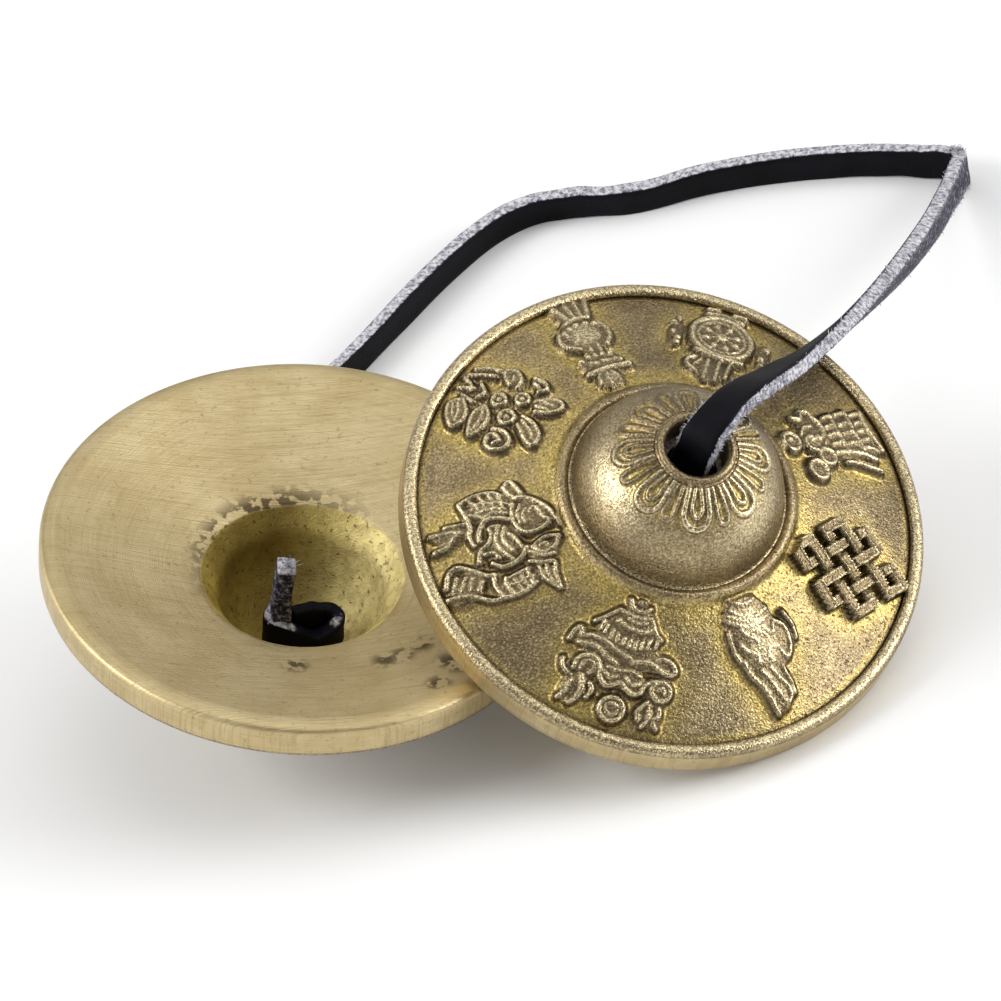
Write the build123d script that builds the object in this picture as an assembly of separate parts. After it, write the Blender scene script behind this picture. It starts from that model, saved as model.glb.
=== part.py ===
from build123d import *
import math
import os

# Tingsha: a pair of cast bell-metal hand cymbals tied to the two ends of one leather thong.
# They lie as set down: the left one on its dome, hollow up, and the right one dome up,
# leaning over the left one's rim. +Z is up, Z = 0 is the table, +Y goes away from the viewer,
# and the origin is under the middle of the two cymbals. Millimetres.

# Cymbal casting, measured from the playing face up to the dome
cymbal_diameter = 65.0
rim_height = 4.7
rim_edge_bevel = 0.6
bead_radius = 0.85
playing_land_width = 2.2
dome_ring_diameter = 28.6
dome_ring_height = 10.7
dome_ring_swell = 0.45
dome_diameter = 26.0
dome_start_height = 11.4
dome_height = 11.0
dome_wall = 2.6
dome_crown_wall = 3.3
hollow_diameter = 25.6
hollow_depth = 5.4
hollow_straight = 3.4
hollow_lip_radius = 1.4
hole_diameter = 7.6
collar_wall = 1.05
collar_rise = 0.9
collar_edge_bevel = 0.35

# Cast ornament on the domed side
emblem_relief = 0.75
emblem_root = 1.2
emblem_circle_diameter = 45.6
emblem_unit = 1.0
petal_relief = 0.3
petal_root = 0.9
petal_count = 8
petal_reach = 5.2
petal_width = 2.7
petal_line = 0.55
sliver_width = 0.9

# Leather thong
strap_width = 4.6
strap_thickness = 1.8
strap_lift = 0.1
route_unit = 1.0
crease_gap = 0.35

# How the pair lies
left_tilt = 15.7
left_lean_bearing = -38.5
left_rest_on_thong = 0.3
right_tilt = 33.8
right_lean_bearing = -57.8
right_bearing_from_left = -6.6
cymbal_rest_gap = 0.3

# Knot tied in each end of the thong
knot_turn_gap = 0.5
knot_clearance = 0.5
knot_inner_run = 2.2
knot_outer_run = 4.6
knot_left_curl_radius = 1.6
knot_tail_width = 2.6
knot_tail_height = 9.0
knot_tail_lean = 10.0
neck_offset = 1.0
neck_exit_bearing = 122.0
neck_exit_run = 28.0
hole_exit_rise = 3.2

cymbal_radius = cymbal_diameter / 2
dome_radius = dome_diameter / 2
hole_radius = hole_diameter / 2
collar_radius = hole_radius + collar_wall
plate_foot = Vector(cymbal_radius - 2 * bead_radius, rim_height - bead_radius)
plate_head = Vector(dome_ring_diameter / 2, dome_ring_height)
cavity_radius = dome_radius - dome_wall
cavity_start = hollow_depth + hollow_straight
cavity_height = dome_start_height + dome_height - dome_crown_wall - cavity_start
collar_top = dome_start_height + dome_height * math.sqrt(1 - (collar_radius / dome_radius) ** 2) + collar_rise


def ellipse_height(radius, across, start, height):
    """Height of a dome of half-width across, at a distance radius from its axis."""
    return start + height * math.sqrt(1 - (radius / across) ** 2)


def dome_line(across, start, height, last_radius):
    """Side view of a dome, as one smooth line from its foot in to a last radius."""
    last = math.acos(last_radius / across)
    spots = [(across * math.cos(last * third / 3), start + height * math.sin(last * third / 3)) for third in range(4)]
    return Spline(*spots, tangents=[(0, 1), (-across * math.sin(last), height * math.cos(last))])


def cymbal_body():
    """The plain casting: rim wall and bead, sloping plate, dome with its collar, dish and hollow."""
    land_inner = cymbal_radius - playing_land_width
    collar_foot = ellipse_height(collar_radius, dome_radius, dome_start_height, dome_height)
    hole_foot = ellipse_height(hole_radius, cavity_radius, cavity_start, cavity_height)
    ring_middle = ((plate_head.X + dome_radius) / 2 + dome_ring_swell,
                   (plate_head.Y + dome_start_height) / 2 + dome_ring_swell)
    bead = [(cymbal_radius - bead_radius + bead_radius * math.cos(math.radians(turn)),
             plate_foot.Y + bead_radius * math.sin(math.radians(turn))) for turn in (0, 45, 90, 135, 180)]
    rim = [(land_inner, 0), (cymbal_radius - rim_edge_bevel, 0), (cymbal_radius, rim_edge_bevel), *bead,
           (plate_head.X, plate_head.Y), ring_middle, (dome_radius, dome_start_height)]
    collar = [(collar_radius, collar_foot), (collar_radius, collar_top - collar_edge_bevel),
              (collar_radius - collar_edge_bevel, collar_top), (hole_radius + collar_edge_bevel, collar_top),
              (hole_radius, collar_top - collar_edge_bevel), (hole_radius, hole_foot)]
    outline = [
        Polyline(*rim),
        dome_line(dome_radius, dome_start_height, dome_height, collar_radius),
        Polyline(*collar),
        dome_line(cavity_radius, cavity_start, cavity_height, hole_radius),
        Polyline((cavity_radius, cavity_start), (hollow_diameter / 2, hollow_depth), (land_inner, 0)),
    ]
    body = revolve(Plane.XZ * make_face(outline), Axis.Z)
    rings = body.edges().filter_by(GeomType.CIRCLE)
    lip = [edge for edge in rings if abs(edge.radius - hollow_diameter / 2) < 1e-3]
    return fillet(lip, hollow_lip_radius)


def bar(width, height, across=0.0, up=0.0, turn=0.0):
    return Pos(across, up) * Rot(0, 0, turn) * Rectangle(width, height)


def disc(radius, across=0.0, up=0.0):
    return Pos(across, up) * RegularPolygon(radius, 8)


def leaf(length, width, across=0.0, up=0.0, turn=0.0):
    side, tip = width / 2, length / 2
    corners = [(0, tip), (-side, tip / 3), (-side, -tip / 3), (0, -tip), (side, -tip / 3), (side, tip / 3)]
    return Pos(across, up) * Rot(0, 0, turn) * make_face(Polyline(*corners, close=True))


def ring(radius, line):
    return RegularPolygon(radius, 12) - RegularPolygon(radius - line, 12)


def tongue(length, width):
    side, tip, shoulder = width / 2, length / 2, (length - width) / 2
    corners = [(side / 2, tip), (-side / 2, tip), (-side, shoulder), (-side, -tip), (side, -tip), (side, shoulder)]
    return make_face(Polyline(*corners, close=True))


def panel(low_width, high_width, low, high):
    return make_face(Polyline((-low_width / 2, low), (low_width / 2, low), (high_width / 2, high),
                              (-high_width / 2, high), close=True))


# The eight auspicious emblems, each drawn upright in a space about 12 units square, top to the dome


def vase():
    return (disc(3.1, 0, -1.2) + panel(5.4, 2.6, -6.2, -3.4) + bar(2.2, 2.6, 0, 2.4)
            + bar(5.2, 0.9, 0, 3.2) + bar(4.0, 0.8, 0, 4.6) + disc(1.7, 0, 5.4))


def wheel():
    drawn = ring(4.4, 0.9) + disc(1.3) + bar(4.6, 1.6, 0, -5.6) + leaf(4.2, 1.5, -5.0, -3.2, 35)
    drawn += leaf(4.2, 1.5, 5.0, -3.2, -35)
    for spoke in range(4):
        drawn += bar(0.6, 8.0, 0, 0, 45 * spoke)
    return drawn


def banner():
    drawn = disc(1.3, 0, 5.6) + bar(4.4, 1.3, 0, 3.6) + disc(1.2, -3.4, 4.4) + disc(1.2, 3.4, 4.4)
    for row in range(3):
        drawn += panel(5.4 + 1.3 * row, 4.6 + 1.3 * row, 0.3 - 2.7 * row, 2.5 - 2.7 * row)
    return drawn + bar(0.8, 12.0, 0, -0.5)


def endless_knot():
    drawn = bar(1.3, 10.0) + bar(10.0, 1.3)
    for side in (-1, 1):
        drawn += bar(1.3, 10.0, 2.9 * side, 0) + bar(10.0, 1.3, 0, 2.9 * side)
        drawn += bar(4.2, 1.2, 1.45 * side, 4.9 * side) + bar(1.2, 4.2, 4.9 * side, -1.45 * side)
        drawn += bar(4.2, 1.2, 1.45 * side, -4.9 * side) + bar(1.2, 4.2, 4.9 * side, 1.45 * side)
    return drawn


def conch():
    drawn = leaf(9.0, 5.4, 0, 0.6, 12) + leaf(5.0, 2.2, -1.2, -4.6, -14) + disc(1.1, -1.0, 5.2)
    for whorl in range(3):
        drawn -= bar(6.0, 0.45, 0, 3.4 - 1.9 * whorl, 28)
    return drawn


def parasol():
    drawn = disc(1.0, 0, 5.8) + panel(7.6, 2.6, 1.9, 4.8) + panel(8.8, 8.0, 0.0, 1.5)
    for tassel in range(6):
        drawn += disc(0.85, -3.75 + 1.5 * tassel, -0.6)
    drawn += bar(1.0, 7.0, 0, -2.6) + leaf(5.2, 1.5, -3.0, -3.6, -24) + leaf(5.2, 1.5, 3.0, -3.6, 24)
    return drawn + disc(1.1, 0, -6.0)


def two_fish():
    drawn = disc(1.1, 0, 0.4)
    for side in (-1, 1):
        drawn += leaf(9.0, 3.2, 2.9 * side, 1.0, 14 * side)
        drawn += Pos(4.5 * side, -4.4) * Rot(0, 0, 14 * side) * panel(4.4, 1.2, -1.4, 1.6)
    return drawn


def lotus():
    drawn = disc(1.8, 0, -0.8) + ring(2.9, 0.6)
    for petal in range(-3, 4):
        drawn += Pos(0, -2.0) * Rot(0, 0, 27 * petal) * leaf(4.4, 2.3, 0, 4.8)
    return drawn + bar(7.0, 1.2, 0, -4.6) + leaf(4.0, 1.6, -3.2, -3.4, 60) + leaf(4.0, 1.6, 3.2, -3.4, -60)


# The castings' pattern was cut by eye: the bearings are those of the emblems, not even steps
emblems = {vase: 106.0, lotus: 142.5, two_fish: 192.5, parasol: 244.5, conch: 290.0, endless_knot: 334.0,
           banner: 19.0, wheel: 65.0}


def square_plane(radius, height, fall, root):
    """Plane square to a surface that falls outwards, its Y climbing to the axis, sunk by root."""
    tilt = math.atan(fall)
    normal = (math.sin(tilt), 0, math.cos(tilt))
    return Plane(origin=(radius, 0, height), x_dir=(0, 1, 0), z_dir=normal).offset(-root)


def emblem_band():
    """Raised emblems, each standing square to the sloping plate and rooted in it."""
    radius = emblem_circle_diameter / 2
    fall = (plate_head.Y - plate_foot.Y) / (plate_foot.X - plate_head.X)
    stand = square_plane(radius, plate_foot.Y + fall * (plate_foot.X - radius), fall, emblem_root)
    raised = []
    for draw, bearing in emblems.items():
        drawn = scale(draw(), by=emblem_unit)
        raised.append(Rot(0, 0, bearing) * extrude(stand * drawn, emblem_root + emblem_relief))
    return raised


def petal_rosette():
    """Lotus rosette round the hole: outlined tongues with a plain sliver between each two."""
    radius = collar_radius + petal_reach / 2 - petal_line
    height = ellipse_height(radius, dome_radius, dome_start_height, dome_height)
    fall = (dome_height / dome_radius) ** 2 * radius / (height - dome_start_height)
    stand = square_plane(radius, height, fall, petal_root)
    outlined = Rot(0, 0, 180) * (tongue(petal_reach, petal_width)
                                 - tongue(petal_reach - 2 * petal_line, petal_width - 2 * petal_line))
    sliver = Rot(0, 0, 180) * tongue(petal_reach, sliver_width)
    raised = []
    for place in range(petal_count):
        bearing = place * 360 / petal_count
        half_step = 180 / petal_count
        raised.append(Rot(0, 0, bearing) * extrude(stand * outlined, petal_root + petal_relief))
        raised.append(Rot(0, 0, bearing + half_step) * extrude(stand * sliver, petal_root + petal_relief))
    return raised


def lean_direction(tilt, bearing):
    """Upward unit vector that leans by tilt degrees towards a compass bearing from +X."""
    lean = math.sin(math.radians(tilt))
    return Vector(lean * math.cos(math.radians(bearing)), lean * math.sin(math.radians(bearing)),
                  math.cos(math.radians(tilt)))


# Where the two castings lie: the left on its collar, the right on its rim, a rest gap apart

plain = cymbal_body()
left_up = lean_direction(left_tilt, left_lean_bearing)
right_up = lean_direction(right_tilt, right_lean_bearing)
left_height = (collar_top * math.cos(math.radians(left_tilt))
               + (collar_radius - collar_edge_bevel) * math.sin(math.radians(left_tilt)) + left_rest_on_thong)
right_height = (cymbal_radius - rim_edge_bevel) * math.sin(math.radians(right_tilt))


def left_plane(across, away):
    return Plane(origin=(across, away, left_height), x_dir=(1, 0, 0), z_dir=left_up * -1)


def right_plane(across, away):
    return Plane(origin=(across, away, right_height), x_dir=(1, 0, 0), z_dir=right_up)


def right_offset(spacing):
    bearing = math.radians(right_bearing_from_left)
    return spacing * math.cos(bearing), spacing * math.sin(bearing)


# The right cymbal slides towards the left one until rounds drawn over their rim bevels are the rest gap apart
rim_core = Pos(0, 0, rim_edge_bevel) * Edge.make_circle(cymbal_radius - rim_edge_bevel)
left_core = left_plane(0, 0).location * rim_core
near, far = cymbal_radius, 1.8 * cymbal_radius
for halving in range(16):
    spacing = (near + far) / 2
    gap = left_core.distance_to(right_plane(*right_offset(spacing)).location * rim_core) - 2 * rim_edge_bevel
    near, far = (spacing, far) if gap < cymbal_rest_gap else (near, spacing)
resting_left = left_plane(0, 0).location * plain
pair_box = Compound([resting_left, right_plane(*right_offset(far)).location * plain]).bounding_box()
middle = pair_box.center()
left_frame = left_plane(-middle.X, -middle.Y)
right_frame = right_plane(right_offset(far)[0] - middle.X, right_offset(far)[1] - middle.Y)

cymbal = plain.fuse(*emblem_band(), *petal_rosette())
left_cymbal = left_frame.location * cymbal
right_cymbal = right_frame.location * cymbal


# The thong: straight runs that may twist, joined by arcs that bend it across its width


def section(place, direction, width_direction):
    return Plane(origin=place, x_dir=width_direction, z_dir=direction) * Rectangle(strap_width, strap_thickness)


def strap_run(start, end, direction, first_width, last_width):
    """One straight run: plain for one strap width, then turned evenly to the next width direction."""
    twist = first_width.get_signed_angle(last_width, direction)
    steps = max(1, math.ceil(abs(twist) / 25))
    plain_run = min(strap_width, (end - start).length / 2)
    turning = start + direction * plain_run
    faces = [section(start, direction, first_width)]
    for step in range(steps + 1):
        width = first_width.rotate(Axis((0, 0, 0), direction), twist * step / steps)
        faces.append(section(turning + (end - turning) * (step / steps), direction, width))
    return loft(faces, ruled=True)


def strap(name, points, first_width, last_width):
    """Flat strap along corner points; each arc takes 0.45 of the shorter run beside it."""
    runs = [points[i + 1] - points[i] for i in range(len(points) - 1)]
    pieces, radii, length = [], [], 0.0
    start, width = points[0], first_width
    for i in range(1, len(points) - 1):
        before, after = runs[i - 1].normalized(), runs[i].normalized()
        turn = before.get_angle(after)
        trim = 0.45 * min(runs[i - 1].length, runs[i].length)
        radius = trim / math.tan(math.radians(turn / 2))
        bend = before.cross(after).normalized()
        arc_start = points[i] - before * trim
        across = bend if bend.dot(width - before * width.dot(before)) > 0 else bend * -1
        pieces.append(strap_run(start, arc_start, before, width, across))
        centre = arc_start + bend.cross(before) * radius
        pieces.append(revolve(section(arc_start, before, across), Axis(centre, bend), turn))
        length += (arc_start - start).length + math.radians(turn) * radius
        start, width = points[i] + after * trim, across
        radii.append(round(radius, 1))
    last = runs[-1].normalized()
    pieces.append(strap_run(start, points[-1], last, width, last_width(last, width)))
    length += (points[-1] - start).length
    solid = pieces[0].fuse(*pieces[1:])
    share = solid.volume / (length * strap_width * strap_thickness)
    print(name, "radii", radii, "length", round(length, 1), "volume share", round(share, 3))
    return solid


def keep_width(direction, width):
    return width


# Each knot is a roll of strap on edge: a front run over the neck, a turn back at its right end
# and an open curl at its left end. It sits as deep in the hollow as its reach from the axis lets it.
knot_pitch = strap_thickness + knot_turn_gap
knot_right_end = (knot_outer_run + knot_left_curl_radius - knot_pitch / 2) / 2
knot_left_end = knot_right_end - knot_outer_run


def knot_base(axis_offset):
    reach = max(
        math.hypot(knot_left_end, knot_left_curl_radius - axis_offset) + knot_left_curl_radius,
        math.hypot(knot_right_end, knot_pitch / 2 - axis_offset) + knot_pitch / 2,
    ) + strap_thickness / 2 + knot_clearance
    return ellipse_height(reach, cavity_radius, cavity_start, cavity_height)


exit_way = Vector(math.cos(math.radians(neck_exit_bearing)), math.sin(math.radians(neck_exit_bearing)), 0)
strap_on_edge = strap_width / 2 + strap_lift
strap_flat = strap_thickness / 2 + strap_lift

left_axis, right_axis = left_up * -1, right_up
left_exit_across = (exit_way - left_axis * exit_way.dot(left_axis)).normalized()
left_neck = left_frame.origin - left_exit_across * neck_offset
left_neck_end = left_neck + left_axis * knot_base(neck_offset)
left_corner = left_neck + left_axis * ((strap_flat - left_neck.Z) / left_axis.Z)
left_turn = left_corner + exit_way * neck_exit_run


def on_table(across, away):
    """Place on the table that the strap passes, standing on edge."""
    return Vector(across * route_unit, away * route_unit, strap_on_edge)


crease = on_table(71.8, 87.0)
back_points = [
    left_neck_end,
    left_corner,
    Vector(left_turn.X, left_turn.Y, strap_on_edge),
    on_table(-28.5, 50.0),
    on_table(-11.0, 73.5),
    on_table(3.0, 91.0),
    on_table(14.5, 98.2),
    on_table(38.5, 97.0),
    on_table(58.5, 94.0),
]
crease_way = (crease - back_points[-1]).normalized()
back_points.append(crease - crease_way * (strap_thickness / 2 + crease_gap))
back_leg = strap("thong_back_leg", back_points, exit_way.cross(left_axis).normalized() * -1, keep_width)

right_top = right_frame.origin + right_axis * collar_top
above_hole = right_top + right_axis * hole_exit_rise
over_dome = Vector(34.0, -11.0, 40.4) * route_unit
front_points = [
    crease,
    Vector(63.9, 61.5, 10.5) * route_unit,
    Vector(55.0, 35.5, 20.2) * route_unit,
    Vector(46.2, 12.6, 29.4) * route_unit,
    Vector(39.4, -0.6, 35.2) * route_unit,
    over_dome,
    above_hole,
    right_frame.origin + right_axis * knot_base(0),
]
front_leg = strap("thong_front_leg", front_points, Vector(0, 0, 1), keep_width)


def knot(width_direction, neck, axis):
    """Roll of strap standing on edge at the end of the neck, with its cut tail standing up."""
    curl = knot_left_curl_radius
    path = [
        Line((knot_right_end - knot_inner_run, knot_pitch), (knot_right_end, knot_pitch)),
        ThreePointArc((knot_right_end, knot_pitch), (knot_right_end + knot_pitch / 2, knot_pitch / 2),
                      (knot_right_end, 0)),
        Line((knot_right_end, 0), (knot_left_end, 0)),
        ThreePointArc((knot_left_end, 0), (knot_left_end - curl, curl), (knot_left_end, 2 * curl)),
    ]
    samples = [edge.position_at(share / 12) for edge in path for share in range(13)]
    least = min((a - b).length for i, a in enumerate(samples) for b in samples[i + 26:])
    print("knot least gap to itself", round(least - strap_thickness, 2))
    band = extrude(trace(path, strap_thickness), strap_width)
    tail_root = Pos(knot_left_end - curl, curl, strap_width / 2)
    tail_size = strap_width / 2 + knot_tail_height
    tail = tail_root * Rot(0, knot_tail_lean, 0) * Box(
        strap_thickness, knot_tail_width, tail_size, align=(Align.CENTER, Align.CENTER, Align.MIN))
    seat = Plane(origin=neck, x_dir=width_direction, z_dir=axis * -1)
    return seat.location * (band + tail)


left_knot = knot(exit_way.cross(left_axis).normalized() * -1, left_neck_end, left_axis)
right_across = (over_dome - above_hole).cross(right_axis).normalized()
right_knot = knot(right_across, front_points[-1], right_axis)

os.makedirs("parts", exist_ok=True)
nodes = {
    "left_cymbal": left_cymbal,
    "right_cymbal": right_cymbal,
    "thong_back_leg": back_leg,
    "thong_front_leg": front_leg,
    "left_knot": left_knot,
    "right_knot": right_knot,
}
for name, shape in nodes.items():
    shape.label = name
    export_step(shape, f"parts/{name}.step")

print("left hole axis at", left_frame.origin, "along", left_axis)
print("right hole axis at", right_frame.origin, "along", right_axis)
print("crease at", crease, "cymbal spacing", round(far, 2), "knot bases",
      round(knot_base(neck_offset), 2), round(knot_base(0), 2))
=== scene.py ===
import bpy
import math
import numpy as np
from mathutils import Matrix, Vector


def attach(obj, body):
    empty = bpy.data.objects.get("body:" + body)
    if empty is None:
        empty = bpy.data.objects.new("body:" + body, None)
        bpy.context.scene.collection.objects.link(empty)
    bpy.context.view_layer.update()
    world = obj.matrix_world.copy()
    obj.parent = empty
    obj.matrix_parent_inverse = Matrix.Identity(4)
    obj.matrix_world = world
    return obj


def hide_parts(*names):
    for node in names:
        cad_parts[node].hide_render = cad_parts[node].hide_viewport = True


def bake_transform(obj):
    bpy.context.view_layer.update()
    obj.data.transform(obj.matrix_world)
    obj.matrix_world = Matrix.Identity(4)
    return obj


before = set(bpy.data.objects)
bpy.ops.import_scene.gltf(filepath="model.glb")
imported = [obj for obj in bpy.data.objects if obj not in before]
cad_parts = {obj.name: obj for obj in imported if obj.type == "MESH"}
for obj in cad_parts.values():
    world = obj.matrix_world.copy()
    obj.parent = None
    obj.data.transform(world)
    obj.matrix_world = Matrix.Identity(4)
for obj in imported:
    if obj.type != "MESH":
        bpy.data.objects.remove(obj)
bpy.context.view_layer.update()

# The two cymbals: one bell-metal casting each, about 65 mm across. The domed side keeps its cast
# skin with eight raised emblems and a petal rosette; rim, face and dish are turned on a lathe.
# Sizes are in millimetres until a mesh is made.

emblem_circle_radius = 22.8
plate_foot = (30.8, 3.85)
plate_head = (14.3, 10.7)
fine_steps = 720
plain_steps = fine_steps // 2
row_height = 0.23


def arc(across, up, reach_across, reach_up, first, last, count):
    turns = np.radians(np.linspace(first, last, count))
    return [(across + reach_across * math.cos(turn), up + reach_up * math.sin(turn)) for turn in turns]


def between(start, end, count):
    return [tuple(point) for point in np.linspace(start, end, count + 1)[1:]]


# One zone after another round the cross-section: radius and height
rim_wall = [(30.3, 0.0), (31.2, 0.0), (31.8, 0.04), (32.15, 0.16), (32.38, 0.4), (32.48, 0.75)]
rim_wall += between((32.5, 1.0), (32.5, 3.5), 6)
rim_lip = [(32.49, 3.75), (32.42, 4.02), (32.28, 4.26), (32.06, 4.44), (31.8, 4.54), (31.5, 4.58),
           (31.2, 4.54), (30.98, 4.42), (30.84, 4.22), (30.76, 4.0), (30.7, 3.84), (30.6, 3.78)]
plate_rows = int(math.dist(plate_foot, plate_head) / row_height)
plate = between((30.5, 3.97), (15.4, 10.24), plate_rows)
dome_ring = [(15.2, 10.4), (15.06, 10.62), (14.92, 10.9), (14.7, 11.18), (14.4, 11.38), (14.1, 11.45),
             (13.85, 11.38), (13.65, 11.18), (13.5, 11.06), (13.36, 11.1), (13.22, 11.3), (13.1, 11.6)]
dome_side = dome_ring + arc(0, 11.4, 13.0, 11.0, 4, 39, 14)
dome_top = arc(0, 11.4, 13.0, 11.0, 40, 67.6, 44)
collar = [(4.9, 21.85), (4.84, 22.1), (4.8, 22.34), (4.64, 22.48), (4.4, 22.52), (4.15, 22.46),
          (3.95, 22.3), (3.84, 22.0)]
hole_wall = between((3.8, 21.6), (3.8, 18.6), 4)
hollow = arc(0, 8.8, 10.4, 10.3, 66, 3, 16) + between((10.45, 8.6), (11.6, 7.0), 5)
hollow += [(12.2, 6.16), (12.42, 5.87), (12.62, 5.68), (12.9, 5.52), (13.4, 5.32)]
dish = between((14.6, 4.94), (30.0, 0.09), 22)
zones = [rim_wall, rim_lip, plate, dome_side, dome_top, collar, hole_wall, hollow, dish]
profile = np.array([point for zone in zones for point in zone])
zone_ends = np.cumsum([len(zone) for zone in zones])
lip_first, plate_first, plate_last = zone_ends[0], zone_ends[1], zone_ends[2]
dome_first, dome_last = zone_ends[3], zone_ends[4]
hole_last, hollow_last = zone_ends[6], zone_ends[7]

run = np.roll(profile, -1, 0) - np.roll(profile, 1, 0)
run /= np.linalg.norm(run, axis=1)[:, None]
outward = np.stack([run[:, 1], -run[:, 0]], 1)


def smooth_line(points, closed=False):
    """Points along a curve that passes through every given point."""
    corners = np.array(points, float)
    if len(corners) == 2:
        return corners
    if closed:
        corners = np.vstack([corners, corners[:1]])
        before = np.vstack([corners[-2], corners[:-1]])
        after = np.vstack([corners[1:], corners[1]])
    else:
        before = np.vstack([2 * corners[0] - corners[1], corners[:-1]])
        after = np.vstack([corners[1:], 2 * corners[-1] - corners[-2]])
    slopes = (after - before) / 2
    drawn = []
    for i in range(len(corners) - 1):
        for t in np.linspace(0, 1, 7)[:-1]:
            drawn.append((2 * t**3 - 3 * t**2 + 1) * corners[i] + (t**3 - 2 * t**2 + t) * slopes[i]
                         + (3 * t**2 - 2 * t**3) * corners[i + 1] + (t**3 - t**2) * slopes[i + 1])
    drawn.append(corners[-1])
    return np.array(drawn)


def away_from(line, spots):
    """Distance of each spot from a drawn line."""
    nearest = np.full(len(spots), 1e9)
    for start, end in zip(line[:-1], line[1:]):
        way = end - start
        share = np.clip((spots - start) @ way / max(way @ way, 1e-9), 0, 1)
        nearest = np.minimum(nearest, np.linalg.norm(spots - start - share[:, None] * way, axis=1))
    return nearest


def away_from_ring(across, up, radius, spots):
    corners = arc(across, up, radius, radius, 0, 330, 12)
    return away_from(smooth_line(corners, closed=True), spots)


def mound(spots, across, up, half_across, half_up, turn, rise):
    """Height of a low rounded boss."""
    lean = math.radians(turn)
    shift = spots - (across, up)
    along = (shift[:, 0] * math.cos(lean) + shift[:, 1] * math.sin(lean)) / half_across
    over = (shift[:, 1] * math.cos(lean) - shift[:, 0] * math.sin(lean)) / half_up
    return rise * np.sqrt(np.clip(1 - along**2 - over**2, 0, None))


# Each emblem is drawn upright on its own tile, top towards the dome, from the tile's middle.
# Bosses: middle across and up, half width, half height, turn, rise.
# Rings: width, middle across and up, radius. Ridges: for each width, the points of each line.

vase_bosses = [
    (-0.3, -1.9, 3.3, 3.2, 0, 0.55), (0.5, 6.5, 1.8, 1.9, 0, 0.5), (-0.9, -6.6, 2.6, 2.2, 0, 0.35),
    (0.1, 3.2, 2.9, 1.9, -6, 0.35), (-0.2, 0.9, 1.5, 1.2, 0, 0.3), (-1.5, 2.35, 0.5, 0.5, 0, 0.66),
    (-0.6, 2.15, 0.5, 0.5, 0, 0.66), (0.35, 2, 0.5, 0.5, 0, 0.66), (1.25, 1.9, 0.5, 0.5, 0, 0.66),
    (2.3, 2.3, 0.6, 0.6, 0, 0.62), (-2.4, -3.4, 0.6, 0.5, 0, 0.74), (-1.35, -3.8, 0.6, 0.5, 0, 0.74),
    (-0.2, -3.95, 0.6, 0.5, 0, 0.74), (0.9, -3.7, 0.6, 0.5, 0, 0.74), (1.8, -3.2, 0.5, 0.5, 0, 0.74)]
vase_ridges = {
    0.5: [[(-0.3, 7.4), (-0.3, 6.2), (0, 5.4)], [(0.9, 7.6), (0.8, 6.4), (0.6, 5.5)],
        [(1.9, 6.8), (1.8, 5.8), (1.4, 5.3)], [(0.3, 1.3), (0.2, 0.3)], [(-0.7, -0.9), (-0.3, -2.1)],
        [(1.8, -2.3), (1.5, -3)]],
    0.55: [[(-0.8, 1.5), (-0.9, 0.3)], [(-1.9, -0.9), (-1.6, -2), (-0.8, -2.7)]],
    0.6: [[(1.3, 0.2), (2.5, -0.8), (2.9, -2.1), (2.5, -3.4)], [(0.5, -2.4), (0.8, -1.5), (1.4, -1)],
        [(-1.6, -5.4), (-1.9, -7.9)], [(-0.7, -5.4), (-0.6, -7.9)],
        [(-2.3, -4.9), (-0.4, -5.2), (1.2, -4.7)]],
    0.65: [[(-2.2, 3.8), (-1.4, 3.45)], [(-0.95, 3.55), (0.15, 3.2)], [(0.65, 3.4), (1.6, 3)]],
    0.7: [[(-2.1, 0.5), (-3.1, -0.6), (-3.4, -1.9), (-3, -3.4)], [(-2.5, -5.2), (-3.3, -7.9)]],
    0.9: [[(-2.7, 4.95), (0, 4.6), (2.5, 4.7)], [(0.2, -5.4), (0.9, -7.9)]]}

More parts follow.
